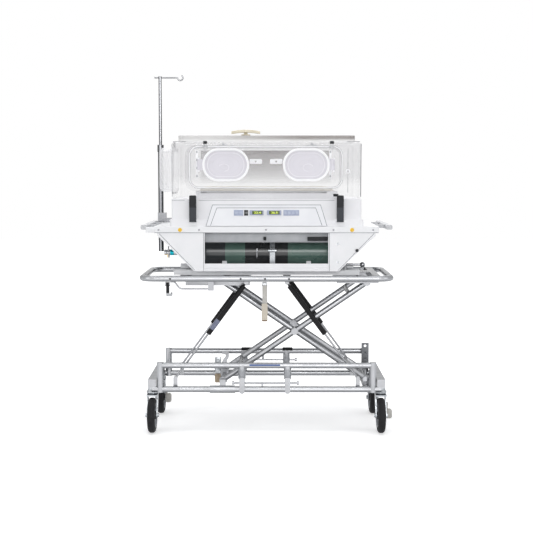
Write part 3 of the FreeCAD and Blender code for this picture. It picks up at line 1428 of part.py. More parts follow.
def knuckle_pair(name, radius, half, pin, along, x, y, z, webs):
    """Two hinge knuckles just outside a barrel, each with a pin that reaches into it."""
    pieces = []
    for end in (-1, 1):
        out = f"{end} * ({half} + seat_gap + knuckle_long / 2)"
        inward = f"{end} * ({half} + seat_gap - pin_reach / 2)"
        if along == "X":
            pieces.append(hinge_line(name, radius, "knuckle_long", f"{x} + {out}", y, z, "X"))
            pieces.append(hinge_line(name + "Pin", pin, "pin_reach + 2", f"{x} + {inward}", y,
                                     z, "X"))
            pieces.append(webs(f"{x} + {out}"))
        else:
            pieces.append(across(name, radius, "knuckle_long", x, f"{y} + {out}", z))
            pieces.append(across(name + "Pin", pin, "pin_reach + 2", x, f"{y} + {inward}", z))
            pieces.append(webs(f"{y} + {out}"))
    return pieces


def hood_fittings():
    """What is fixed to the hood: its hinge barrels, the knuckles of its doors, the grommet."""
    wall = "hood_half_deep"
    pieces = []
    for end in (-1, 1):
        x = f"{end} * hood_hinge_x"
        ring = hinge_line("HoodBarrel", "door_hinge / 2", "hood_hinge_long", x, HOOD_HINGE_Y,
                          HOOD_HINGE_Z, "X")
        web = box("HoodBarrelWeb", "hood_hinge_long", "door_hinge / 2 + seat_gap + 1",
                  "door_hinge", x, f"{wall} - 1 + (door_hinge / 2 + seat_gap + 1) / 2",
                  HOOD_HINGE_Z)
        bore = hinge_line("HoodBarrelBore", "door_pin / 2 + running_fit",
                          "hood_hinge_long + 2", x, HOOD_HINGE_Y, HOOD_HINGE_Z, "X")
        pieces.append(cut("HoodBarrelBored", fuse("HoodBarrelSolid", [ring, web]), bore))
    pieces += knuckle_pair(
        "DoorKnuckle", "door_hinge / 2", f"{DOOR_BARREL} / 2", "door_pin / 2", "X", DOOR_MID,
        DOOR_HINGE_Y, DOOR_HINGE_Z,
        lambda x: box("DoorKnuckleWeb", "knuckle_long", "door_hinge / 2 + seat_gap + 1",
                      "door_hinge", x, f"-{wall} + 1 - (door_hinge / 2 + seat_gap + 1) / 2",
                      f"{DOOR_HINGE_Z} - door_hinge"))
    pieces += knuckle_pair(
        "EndKnuckle", "end_hinge / 2", "end_hinge_half", "door_pin / 2", "Y", END_HINGE_X, "0",
        END_HINGE_Z,
        lambda y: box("EndKnuckleWeb", "end_hinge / 2 + seat_gap + 1", "knuckle_long",
                      "end_hinge", "-hood_left + 1 - (end_hinge / 2 + seat_gap + 1) / 2", y,
                      f"{END_HINGE_Z} - end_hinge"))
    pieces.append(rod("EndCatchPin", "end_latch_pin / 2", "end_latch_thick + seat_gap + 2",
                      "-hood_left - end_latch_thick - seat_gap", "0", END_CATCH_Z, "X"))
    keeper_deep = f"(-{CLIP_BACK} - {wall} - seat_gap + 1)"
    for end in (-1, 1):
        pieces.append(box("ClipKeeper", "clip_wide", keeper_deep, "12", f"{end} * clip_x",
                          f"-{wall} + 1 - {keeper_deep} / 2", HOOD_FOOT))
    pieces.append(across("Grommet", "grommet_diameter / 2", "grommet_thick + 2", "grommet_x",
                         f"-{wall} - grommet_thick / 2 + 1", f"{HOOD_FOOT} + grommet_up"))
    return pieces


def hood_shell():
    """The clear hood: a thin moulded shell, open below, at the front and at the left end."""
    outer = hood_block("HoodOuter", "0", HOOD_FOOT, "hood_round", "hood_corner")
    inner = hood_block("HoodInner", "hood_wall", f"({HOOD_FOOT} - 1)",
                       "hood_round - hood_wall", "hood_corner - hood_wall")
    front = box("FrontOpening", f"{DOOR_LONG} - 2 * door_lap", "4 * hood_wall",
                "door_height - 2 * door_lap", DOOR_MID, "-hood_half_deep",
                f"{DOOR_FOOT} + door_lap")
    front = rounded("FrontOpeningRound", front, "door_round - door_lap",
                    lambda e: runs(e, (0, 1, 0)))
    end_high = "end_door_height - 2 * end_door_lap"
    end = box("EndOpening", "4 * hood_wall", "2 * (end_door_half - end_door_lap)", end_high,
              "-hood_left", "0", f"{HOOD_FOOT} + end_door_foot + end_door_lap")
    end = rounded("EndOpeningRound", end, "end_door_round - end_door_lap",
                  lambda e: runs(e, (1, 0, 0)))
    shell = cut("HoodOpened", cut("HoodWalls", outer, inner),
                fuse("HoodOpenings", [front, end]))
    node("hood_shell", fuse("HoodShell", [shell] + hood_fittings()))


def roof_panel():
    """The thicker lid on the roof of the hood, with the boss that carries the lamp."""
    z = f"({HOOD_FOOT} + hood_height)"
    lid = box("Lid", "2 * roof_half_long", "2 * roof_half_deep", "roof_thick", "0", "0", z)
    lid = rounded("LidRound", lid, "roof_round", lambda e: runs(e, (0, 0, 1)))
    boss = rod("LampBoss", "lamp_boss_diameter / 2", "lamp_boss_high", "-lamp_x", "0",
               f"{z} + roof_thick")
    pin = rod("LampPin", "lamp_stalk_diameter / 2 - 4", "lamp_boss_high + lamp_stalk_high",
              "-lamp_x", "0", f"{z} + roof_thick")
    node("roof_panel", fuse("RoofPanel", [lid, boss, pin]))


def exam_lamp():
    """The low curved lamp head that turns on its stalk over the roof."""
    z = f"({HOOD_FOOT} + hood_height + roof_thick + lamp_boss_high + seat_gap)"
    head_z = f"({z} + lamp_stalk_high)"
    head = box("LampHead", "2 * lamp_half_long", "2 * lamp_half_deep", "lamp_high",
               "-lamp_x", "0", head_z)
    head = rounded("LampHeadRound", head, "lamp_round", lambda e: True)
    stalk = rod("LampStalk", "lamp_stalk_diameter / 2", "lamp_stalk_high + 2", "-lamp_x", "0",
                z)
    bore = rod("LampBore", "lamp_stalk_diameter / 2 - 4 + running_fit", "lamp_stalk_high + 1",
               "-lamp_x", "0", f"{z} - 1")
    node("exam_lamp", cut("ExamLamp", fuse("LampSolid", [head, stalk]), bore))


def oval(name, long, high, deep, x, y_back, z):
    """An upright oval block that grows from its back towards the front."""
    r = f"({high}) / 2"
    y = f"{y_back} - ({deep}) / 2"
    flat = f"(({long}) - ({high}))"
    return fuse(name, [
        box(name + "Flat", flat, deep, high, x, y, f"{z} - {r}"),
        across(name + "EndA", r, deep, f"{x} - {flat} / 2", y, z),
        across(name + "EndB", r, deep, f"{x} + {flat} / 2", y, z),
    ])


def hinge_line(name, radius, long, x, y, z, along):
    """A hinge barrel with its middle at x, y, z."""
    if along == "X":
        return rod(name, radius, long, f"{x} - ({long}) / 2", y, z, "X")
    return rod(name, radius, long, x, y, f"{z} - ({long}) / 2")


def front_door():
    """The clear front door with its two port openings and the hinge barrel along its foot."""
    panel = box("DoorPanel", DOOR_LONG, "door_thick", "door_height", DOOR_MID,
                f"{DOOR_BACK} - door_thick / 2", DOOR_FOOT)
    panel = rounded("DoorPanelRound", panel, "door_round", lambda e: runs(e, (0, 1, 0)))
    barrel = hinge_line("DoorBarrel", "door_hinge / 2", DOOR_BARREL, DOOR_MID,
                        DOOR_HINGE_Y, DOOR_HINGE_Z, "X")
    web = box("DoorWeb", DOOR_BARREL, "door_thick", "door_hinge", DOOR_MID,
              f"{DOOR_BACK} - door_thick / 2", DOOR_HINGE_Z)
    holes = [
        oval("PortHole" + word, "port_long", "port_high", "door_thick + 8", x,
             f"{DOOR_BACK} + 4", PORT_Z)
        for word, (end, x) in PORTS.items()
    ]
    holes.append(hinge_line("DoorBore", "door_pin / 2 + running_fit", f"{DOOR_BARREL} + 2",
                            DOOR_MID, DOOR_HINGE_Y, DOOR_HINGE_Z, "X"))
    body = cut("DoorBored", fuse("DoorSolid", [panel, barrel, web]), fuse("PortHoles", holes))
    pins = []
    for end, x in CATCHES.values():
        pins.append(rod("CatchPin", "catch_pin / 2", "catch_thick + seat_gap", x,
                        f"{DOOR_FRONT} - catch_thick - seat_gap", CATCH_Z, "Y"))
    for word, (end, x) in PORTS.items():
        pins.append(rod("PortCatchPin", "port_latch_pin / 2", "port_latch_thick + seat_gap",
                        port_catch_x(end, x), f"{DOOR_FRONT} - port_latch_thick - seat_gap",
                        PORT_CATCH_Z, "Y"))
    node("front_door", fuse("FrontDoor", [body] + pins))


def port_rims():
    """The white rims round the two hand ports."""
    rims = []
    for word, (end, x) in PORTS.items():
        ring = oval("RimOuter" + word, "port_long + 2 * port_rim_wide",
                    "port_high + 2 * port_rim_wide", "port_rim_deep", x, DOOR_FRONT, PORT_Z)
        hole = oval("RimInner" + word, "port_long", "port_high", "port_rim_deep + 2", x,
                    f"{DOOR_FRONT} + 1", PORT_Z)
        rims.append(cut("Rim" + word, ring, hole))
    node("port_rims", together("PortRims", rims + port_hinges()))


PORT_REACH = "(port_long / 2 + port_rim_wide + port_hinge_reach)"


def port_door(word, end, x):
    """An oval hand-port door with its hinge strap and barrel on the outer side."""
    lid = oval("PortLid" + word, "port_long + 2 * port_rim_wide",
               "port_high + 2 * port_rim_wide", "port_door_thick", x, PORT_DOOR_BACK, PORT_Z)
    hinge_x = f"({x} + {end} * {PORT_REACH})"
    strap = box("PortStrap" + word, "port_hinge_reach + 20", "port_door_thick",
                "port_hinge_long", f"{hinge_x} - {end} * (port_hinge_reach + 20) / 2",
                f"{PORT_DOOR_BACK} - port_door_thick / 2",
                f"{PORT_Z} - port_hinge_long / 2")
    barrel = hinge_line("PortBarrel" + word, "port_hinge / 2", "port_hinge_long", hinge_x,
                        f"{PORT_DOOR_BACK} - port_door_thick / 2", PORT_Z, "Z")
    bore = hinge_line("PortBore" + word, "port_hinge / 4 + running_fit",
                      "port_hinge_long + 2", hinge_x,
                      f"{PORT_DOOR_BACK} - port_door_thick / 2", PORT_Z, "Z")
    node(f"port_door_{word}", cut("PortDoor" + word, fuse("PortDoorSolid" + word,
                                                          [lid, strap, barrel]), bore))


def port_hinges():
    """The hinge brackets of the port doors, on the front door, each with its pin."""
    brackets = []
    y = f"{PORT_DOOR_BACK} - port_door_thick / 2"
    for word, (end, x) in PORTS.items():
        hinge_x = f"({x} + {end} * {PORT_REACH})"
        pieces = [hinge_line("PortPin", "port_hinge / 4", "port_hinge_long + 12", hinge_x, y,
                             PORT_Z, "Z")]
        for up in (-1, 1):
            pieces.append(box("PortKnuckle", "port_hinge",
                              "port_rim_deep + seat_gap + port_door_thick / 2 + port_hinge / 2",
                              "6", hinge_x,
                              f"{DOOR_FRONT} - (port_rim_deep + seat_gap + port_door_thick / 2"
                              " + port_hinge / 2) / 2",
                              f"{PORT_Z} + {up} * (port_hinge_long / 2 + seat_gap + 3) - 3"))
        brackets.append(fuse("PortBracket" + word, pieces))
    return brackets


def port_catch_x(end, x):
    """Where the catch of a port turns, on the inner side of the port."""
    return f"({x} - {end} * (port_long / 2 + port_rim_wide + 1.3 + port_latch_long / 2))"


def port_latch(word, end, x):
    """The turning catch beside a port, on the front door between the two ports."""
    mid = port_catch_x(end, x)
    body = box("PortCatch" + word, "port_latch_long", "port_latch_thick", "port_latch_high",
               mid, f"{DOOR_FRONT} - seat_gap - port_latch_thick / 2",
               f"{PORT_CATCH_Z} - port_latch_high / 2")
    body = rounded("PortCatchRound" + word, body, "4", lambda e: runs(e, (0, 1, 0)))
    bore = across("PortCatchBore" + word, "port_latch_pin / 2 + running_fit",
                  "port_latch_thick + 2", mid,
                  f"{DOOR_FRONT} - seat_gap - port_latch_thick / 2", PORT_CATCH_Z)
    node(f"port_latch_{word}", cut("PortLatch" + word, body, bore))


def door_latch(word, end, x):
    """The black turn latch at an upper corner of the front door."""
    z = CATCH_Z
    y = f"{DOOR_FRONT} - seat_gap - catch_thick / 2"
    hub = across("CatchHub" + word, "catch_wide / 2", "catch_thick", x, y, z)
    tongue = box("CatchTongue" + word, "catch_wide * 0.7", "catch_thick", "catch_high", x, y, z)
    tongue = rounded("CatchTongueRound" + word, tongue, "3", lambda e: runs(e, (0, 1, 0)))
    bore = across("CatchBore" + word, "catch_pin / 2 + running_fit", "catch_thick + 2", x, y, z)
    node(f"door_latch_{word}", cut("DoorLatch" + word, fuse("CatchSolid" + word,
                                                            [hub, tongue]), bore))


def head_door():
    """The domed clear door on the left end, a shallow moulding open towards the hood."""
    x_back = "(-hood_left - seat_gap)"
    foot = END_FOOT
    outer = box("EndOuter", "end_door_deep", "2 * end_door_half", "end_door_height",
                f"{x_back} - end_door_deep / 2", "0", foot)
    outer = rounded("EndOuterSides", outer, "end_door_round", lambda e: runs(e, (1, 0, 0)))
    far = value(f"{x_back} - end_door_deep")
    outer = rounded("EndOuterDome", outer, "end_door_round * 0.7",
                    lambda e: abs(e.CenterOfMass.x - far) < 0.01)
    wall = "end_door_wall"
    inner = box("EndInner", f"end_door_deep - {wall} + 1", f"2 * (end_door_half - {wall})",
                f"end_door_height - 2 * {wall}",
                f"{x_back} + 1 - (end_door_deep - {wall} + 1) / 2", "0", f"{foot} + {wall}")
    inner = rounded("EndInnerSides", inner, f"end_door_round - {wall}",
                    lambda e: runs(e, (1, 0, 0)))
    near = value(f"{x_back} - end_door_deep + {wall}")
    inner = rounded("EndInnerDome", inner, f"end_door_round * 0.7 - {wall}",
                    lambda e: abs(e.CenterOfMass.x - near) < 0.01)
    barrel = across("EndBarrel", "end_hinge / 2", "2 * end_hinge_half", END_HINGE_X, "0",
                    END_HINGE_Z)
    bore = across("EndBore", "door_pin / 2 + running_fit", "2 * end_hinge_half + 2",
                  END_HINGE_X, "0", END_HINGE_Z)
    web = box("EndWeb", "end_hinge", "2 * end_hinge_half", f"end_hinge / 2 + seat_gap + {wall} / 2",
              END_HINGE_X, "0", END_HINGE_Z)
    shell = cut("EndShell", outer, inner)
    node("head_door", cut("HeadDoor", fuse("EndSolid", [shell, barrel, web]), bore))


def head_door_latch():
    """The turn latch on the hood's end wall above the head-end door."""
    x = "(-hood_left - seat_gap - end_latch_thick / 2)"
    body = box("EndCatch", "end_latch_thick", "end_latch_wide", "end_latch_long", x, "0",
               f"{END_CATCH_Z} - end_latch_long / 2")
    body = rounded("EndCatchRound", body, "3", lambda e: runs(e, (1, 0, 0)))
    bore = rod("EndCatchBore", "end_latch_pin / 2 + running_fit", "end_latch_thick + 2",
               f"{x} - end_latch_thick / 2 - 1", "0", END_CATCH_Z, "X")
    node("head_door_latch", cut("HeadDoorLatch", body, bore))


def hood_latch(word, end):
    """The two-part black clip that holds the hood to the housing."""
    x = f"{end} * clip_x"
    y = f"{CLIP_BACK} - clip_thick / 2"
    clip = box("Clip" + word, "clip_wide", "clip_thick", "clip_high - clip_thick / 2", x, y,
               CLIP_PIN_Z)
    top = value(f"{CLIP_FOOT} + clip_high")
    clip = rounded("ClipRound" + word, clip, "clip_round",
                   lambda e: runs(e, (0, 1, 0)) and abs(e.CenterOfMass.z - top) < 0.01)
    foot = rod("ClipFoot" + word, "clip_thick / 2", "clip_wide", f"{x} - clip_wide / 2", y,
               CLIP_PIN_Z, "X")
    clip = fuse("ClipSolid" + word, [clip, foot])
    bore = rod("ClipBore" + word, "clip_pin / 2 + running_fit", "clip_wide + 2",
               f"{x} - clip_wide / 2 - 1", y, CLIP_PIN_Z, "X")
    node(f"hood_latch_{word}", cut("HoodLatch" + word, clip, bore))


# drip stand
def iv_pole():
    """The lower tube of the drip stand with its clamp block and the collar at its top."""
    x, y = "-pole_x", "pole_y"
    pieces = [
        rod("PoleTube", "pole_tube / 2", "pole_collar_foot - pole_foot", x, y, "pole_foot"),
        rod("PoleCollar", "pole_collar_diameter / 2", "pole_collar_high", x, y,
            "pole_collar_foot"),
        box("PoleClamp", "pole_clamp_wide", "pole_clamp_deep", "pole_clamp_high",
            f"{x} + 6", y, PLINTH),
        box("PoleBracket", "pole_bracket_long", "pole_clamp_deep - 8", "pole_bracket_high",
            f"{x} + 6 + pole_bracket_long / 2", y, PLINTH),
    ]
    bore = rod("PoleBore", "pole_upper_tube / 2 + running_fit",
               "pole_inside + pole_travel + 20", x, y,
               "pole_collar_foot + pole_collar_high - pole_inside - pole_travel - 10")
    node("iv_pole", cut("IvPole", fuse("PoleSolid", pieces), bore))


def iv_pole_upper():
    """The sliding upper tube with a drip hook on each side of its top."""
    x, y, z = "-pole_x", "pole_y", "pole_top"
    foot = "(pole_collar_foot + pole_collar_high - pole_inside)"
    wire = "pole_hook_wire / 2"
    pieces = [
        rod("UpperTube", "pole_upper_tube / 2", f"{z} - {foot}", x, y, foot),
        rod("HookBar", wire,
            "pole_hook_reach + pole_hook_back - 2 * pole_hook_radius + pole_hook_wire",
            f"{x} - pole_hook_back", y, f"{z} - pole_upper_tube / 2", "X"),
    ]
    hook = doc.addObject("Part::Torus", "DripHook")
    bind(hook, "Radius1", f"pole_hook_radius - {wire}")
    bind(hook, "Radius2", wire)
    hook.Angle3 = 250
    turn = FreeCAD.Rotation(FreeCAD.Vector(1, 0, 0), 90)
    turn = turn.multiply(FreeCAD.Rotation(FreeCAD.Vector(0, 0, 1), 170))
    hook.Placement = FreeCAD.Placement(FreeCAD.Vector(), turn)
    place(hook, f"{x} + pole_hook_reach - pole_hook_radius", y, f"{z} - pole_upper_tube / 2")
    back = rod("BackHook", wire, "2 * pole_hook_radius", f"{x} - pole_hook_back",
               f"{y} - 2 * pole_hook_radius", f"{z} - pole_upper_tube / 2", "Y")
    node("iv_pole_upper", fuse("IvPoleUpper", pieces + [hook, back]))


def build():
    base_frame()
    saddle_pads()
    lock_rods()
    base_pivot_shaft()
    for corner, (x_end, y_end) in CORNERS.items():
        caster_fork(corner, x_end, y_end)
        caster_wheel(corner, x_end, y_end)
    for corner, out in PEDALS.items():
        brake_pedal(corner, *CORNERS[corner], out)
    inner = lift_arms("Inner", "inner_lift_arms", "inner_arm_y", True)
    place(inner, LEFT_END, "0", DECK_PIVOT, (0, 1, 0), "rest_angle")
    outer = lift_arms("Outer", "outer_lift_arms", "outer_arm_y", False)
    place(outer, LEFT_END, "0", "base_pivot_height", (0, -1, 0), "rest_angle")
    lower_carriage()
    upper_carriage()
    struts("left", -1)
    struts("right", 1)
    rail = deck_rail()
    deck_frame(rail)
    height_lever()
    release_lever()
    release_linkage()
    docking_latch()
    tray()
    side_handles()
    bay_frame()
    bay_cheeks()
    gas_cylinder("front", -1)
    gas_cylinder("rear", 1)
    regulator()
    regulator_knob()
    gas_hose()
    cylinder_clamp()
    housing()
    control_panel()
    display_windows()
    mattress_tray()
    mattress()
    hood_shell()
    roof_panel()
    exam_lamp()
    front_door()
    port_rims()
    for word, (end, x) in PORTS.items():
        port_door(word, end, x)
        port_latch(word, end, x)
    for word, (end, x) in CATCHES.items():
        door_latch(word, end, x)
        hood_latch(word, end)
    head_door()
    head_door_latch()
    iv_pole()
    iv_pole_upper()


def write_parts():
    """Checks every object and sub-part, then writes one STEP file for each node."""
    for obj in doc.Objects:
        bad = {"Invalid", "Error"} & set(obj.State)
        if bad:
            raise RuntimeError(f"{obj.Name} ({obj.Label}) is {obj.State}")
    for name, obj in NODES.items():
        shape = obj.Shape
        if shape.isNull() or not shape.isValid() or not shape.Solids:
            raise RuntimeError(f"{name} has no valid solid")
    os.makedirs("parts", exist_ok=True)
    for name, obj in NODES.items():
        obj.Shape.exportStep(f"parts/{name}.step")
        print(name, len(obj.Shape.Solids), round(obj.Shape.Volume / 1000), "cm3")


build()
doc.recompute()
write_parts()
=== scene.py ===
"""The finishes, soft goods and small fittings of a transport incubator on its trolley."""

import math

import bmesh
import bpy
from mathutils import Matrix, Vector


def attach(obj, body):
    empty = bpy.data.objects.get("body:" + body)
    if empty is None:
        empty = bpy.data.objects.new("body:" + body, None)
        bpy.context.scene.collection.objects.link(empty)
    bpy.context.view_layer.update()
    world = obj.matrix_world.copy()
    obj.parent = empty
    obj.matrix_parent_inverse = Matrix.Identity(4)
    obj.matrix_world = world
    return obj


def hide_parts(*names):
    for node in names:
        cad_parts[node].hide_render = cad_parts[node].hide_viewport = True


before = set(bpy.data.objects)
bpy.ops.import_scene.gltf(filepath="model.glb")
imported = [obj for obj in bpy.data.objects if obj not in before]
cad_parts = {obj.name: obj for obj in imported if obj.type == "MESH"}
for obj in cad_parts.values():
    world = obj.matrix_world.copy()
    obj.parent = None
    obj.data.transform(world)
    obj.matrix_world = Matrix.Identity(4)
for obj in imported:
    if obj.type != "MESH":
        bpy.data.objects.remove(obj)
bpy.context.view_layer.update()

# all places and sizes are in metres, unless a name ends in MM
MM = 0.001
FRONT, ACROSS, UPWARDS = Vector((0, -1, 0)), Vector((1, 0, 0)), Vector((0, 0, 1))
# past every piece
FAR = 9.0

# camera: a long lens in front of the trolley, just under the height of the bed
CAMERA_PLACE = (0.023, -4.9365, 1.103)
CAMERA_DOWN, CAMERA_LEFT = 4.675, 0.28
LENS_MM, SENSOR_MM = 75.58, 36

# gas hose: the same route as the solid's
HOSE_FOOT = Vector((-0.424, -0.115, 0.78603))
HOSE_RISE, HOSE_DIAMETER, HOSE_LONG = 0.0965, 0.006, 0.1077
HOSE_ROUTE_MM = (
    (0, 0, 0), (0, 0, 0.14), (-7, -2, 0.296), (-19, -5, 0.413),
    (-28, -8, 0.561), (-30, -11, 0.722), (-28, -13, 0.872), (-22, -14, 1),
)

# trolley
BASE_HALF_WIDTH, UPPER_RAIL, TUBE_RADIUS = 0.2, 0.291, 0.0127
# where the anchor plate lies: each axis with a start and an end
ANCHOR_PLATE = ((0, 0.431, FAR), (1, 0.1, FAR), (2, 0.2265, FAR))
WHEEL_Y, WHEEL_Z, RIM_RADIUS, HUB_RADIUS = 0.2, 0.075, 0.052, 0.017
TEE_POSTS, COLLAR_FOOT, COLLAR_HIGH, COLLAR_RADIUS = (-0.105, 0.090), 0.237, 0.039, 0.0158
STRIPE_ENDS, STRIPE_TURN = (-0.073, 0.058), -30
HOOK_X, BUFFER_Z, GUARD_Z = -0.2175, 0.200, 0.258
DECK_FRONT, DECK_HEIGHT = -0.2497, 0.667
DECK_PLUGS = (-0.406, -0.109, -0.006, 0.095)
STRUT_TOP, STRUT_FOOT = Vector((-0.087, -0.1735, 0.645)), Vector((-0.392, -0.1735, 0.232))
STRUT_RADIUS, LABEL_START, LABEL_LONG = 0.011, 0.200, 0.05
GRIP_TOP, GRIP_CAP = 0.5623, 0.492
LEVER_SLEEVE = (-0.007, -0.237, 0.604)
# the bright foot of the release hook, from its tip up
HOOK_FOOT = (0.590, 0.606)

# tray and gas bay
TRAY_FACE, TRAY_MIDDLE, TRAY_FOOT, TRAY_SEAM = -0.246, 0.8735, 0.8615, 0.940
TRAY_DISCS = (-0.363, 0.359)
TRAY_SCREWS = (-0.453, -0.283, -0.002, 0.281, 0.448)
CHEEK_FACE, LIP_FACE, LIP_RIBS = -0.244, -0.241, (0.7115, 0.7175)
# the cheek's seams: beside the bay, and down its slanted edge
CHEEK_INNER, CHEEK_INNER_Z = 0.2645, (0.701, 0.859)
CHEEK_SLANT = ((0.451, 0.8575), (0.302, 0.7035))
CHEEK_RIVETS, STOP_KNOB = ((0.300, 0.737), (0.300, 0.815)), (0.380, 0.787)
BAY_HALF, POST_INNER, RAIL_Y = 0.259, 0.274, -0.222
GAS_Y, GAS_RADIUS, GAS_HEIGHT = -0.115, 0.0555, 0.770
GAS_HANDLE_X, GAS_HANDLE_FEET, GAS_HANDLE_ENDS = -0.041, (0.753, 0.787), (0.749, 0.791)
# along the gas cylinders and the regulator, from left to right
SHOULDER_SLEEVE, MIDDLE_SLEEVE = (-0.400, -0.177), (-0.092, 0.091)
TEAL_RING, YELLOW_OUTLET = (-0.416, -0.400), ((0, -FAR, -0.426), (2, -FAR, 0.7615))

# control panel: it leans back by 12 mm over 90 mm
PANEL_FOOT = Vector((0, -0.244, 0.890))
PANEL_UP = Vector((0, 12, 90)).normalized()
PANEL_OUT = Vector((0, -90, 12)).normalized()
PANEL_TURN = Matrix((ACROSS, PANEL_UP, PANEL_OUT)).transposed().to_4x4()
STRIP_OUT, WINDOW_OUT = 0.0015, 0.0045
# the corners of its two seams, across it and up its slope
PANEL_SEAMS = (
    ((-0.235, 0.002), (-0.2085, 0.076), (0.2065, 0.076), (0.233, 0.002)),
    ((-0.2535, 0.001), (-0.2270, 0.0885), (0.2270, 0.0885), (0.2535, 0.001)),
)
# seams of the housing above it: left end, right end and width
HOUSING_FACE, HOUSING_SEAM_UP = -0.2263, 0.9970
HOUSING_SEAMS = ((-0.285, 0.285, 0.0014), (-0.398, -0.345, 0.0012))
# keypads: left end, right end and how many keys
KEYPADS, KEYPAD_UP, KEYPAD_HALF = ((-0.137, -0.098, 2), (0.071, 0.137, 4)), 0.055, 0.0118
KEY_HIGH, KEY_SHARE = 0.011, 0.62
INDICATOR = (-0.094, -0.077)
# display frames: left end, the reading field's two ends and right end
DISPLAY_FRAMES = ((-0.0700, -0.0600, -0.0165, -0.0132), (0.0022, 0.0105, 0.0555, 0.0618))
WINDOW_UP, WINDOW_HALF, FRAME_BAR = 0.0551, 0.0098, 0.0026
READINGS = {"air": (-0.0383, "32.4"), "skin": (0.033, "36.5")}
FIGURE_HIGH, FIGURE_STRETCH = 0.0135, 1.25

# mattress
MATTRESS_LOW, MATTRESS_TOP = 1.01163, 1.05363
MATTRESS_HALF = Vector((0.293, 0.189, 0.021))
CLOTH_FRAMES, VOXEL, SWELL = 20, 0.006, 0.006

# hood, doors and ports
HOOD_FRONT, HOOD_TOP, ROOF_TOP = -0.230, 1.24333, 1.27033
HOOD_EDGE_LOW, HOOD_EDGE_HIGH = 1.012, 1.2335
HOOD_TOP_BENDS = ((-0.392, -0.337), (0.337, 0.392))
# the painted dark lines at the hood's two front corners, for the light trapped there:
# radius, X at the foot and at the head, and Y
HOOD_CORNERS = ((0.0017, 0.3960, 0.3966, -0.2195), (0.0009, -0.3966, -0.3966, -0.2225))
LID_CATCHES, LID_STOP = ((-0.196, -0.166), (0.168, 0.212)), (0.291, 1.0185)
DOOR_FACE, DOOR_INSET, DOOR_MIDDLE = -0.2363, -0.2355, -0.012
# frames on the front door: their middle, then half width, half height and corner
DOOR_SPOT = (-0.003, DOOR_INSET, 1.136)
DOOR_BEAD = (0.3215, 0.0885, 0.041)
DOOR_GROOVES = ((0.3165, 0.0835, 0.036), (0.3227, 0.0897, 0.042))
HINGE_OUT, HINGE_MIDDLE, HINGE_CLIPS = 0.2790, 1.148, (1.098, 1.132, 1.166, 1.199)
GROMMET = (0.341, 1.118)
SLOT_ENDS = (1.030, 1.212)
TONGUE_TOP, CLIP_BAR = 1.2325, (0.9, 0.967)
# where clear sheet thins out downwards, and where the rear wall's painted dark reflection
# begins and is full
CLEAR_LOW, CLEAR_HIGH, REFLECTION_LOW, REFLECTION_HIGH, REFLECTION_SIDE = 1.055, 1.100, 1.08, 1.21, 0.30
# along the lid's edge, where its grey brown grows to full
LID_PALE, LID_DARK = -0.25, 0.15
PORT_FACE, PORT_Z = -0.2496, 1.14533
PORTS = {"left": -0.170, "right": 0.166}
PORT_HALF, PORT_HIGH, PORT_MIDDLE, PORT_REACH = 0.087, 0.058, -0.002, 0.168
PLEAT_STEP, PLEAT_TURN = 20, 260
# how far apart the moulded rings of a port door are
RING_PITCH_MM = 24.85
LAMP_X, LAMP_FOOT, LAMP_HEAD = -0.092, 1.27563, (0.126, 0.050, 0.012)


# nodes and finishes
def srgb(text):
    """A hex colour as the linear colour that the shaders work in."""
    parts = [int(text[i:i + 2], 16) / 255 for i in (0, 2, 4)]
    return [c / 12.92 if c <= 0.04045 else ((c + 0.055) / 1.055) ** 2.4 for c in parts] + [1]


def add(tree, kind, inputs=(), output=0, **settings):
    """Adds a node with its settings, sets or links its inputs and gives one of its outputs."""
    made = tree.nodes.new("ShaderNode" + kind)
    for name, setting in settings.items():
        setattr(made, name, setting)
    for name, source in dict(inputs).items():
        if isinstance(source, bpy.types.NodeSocket):
            tree.links.new(source, made.inputs[name])
        else:
            made.inputs[name].default_value = source
    return made.outputs[output] if len(made.outputs) else None


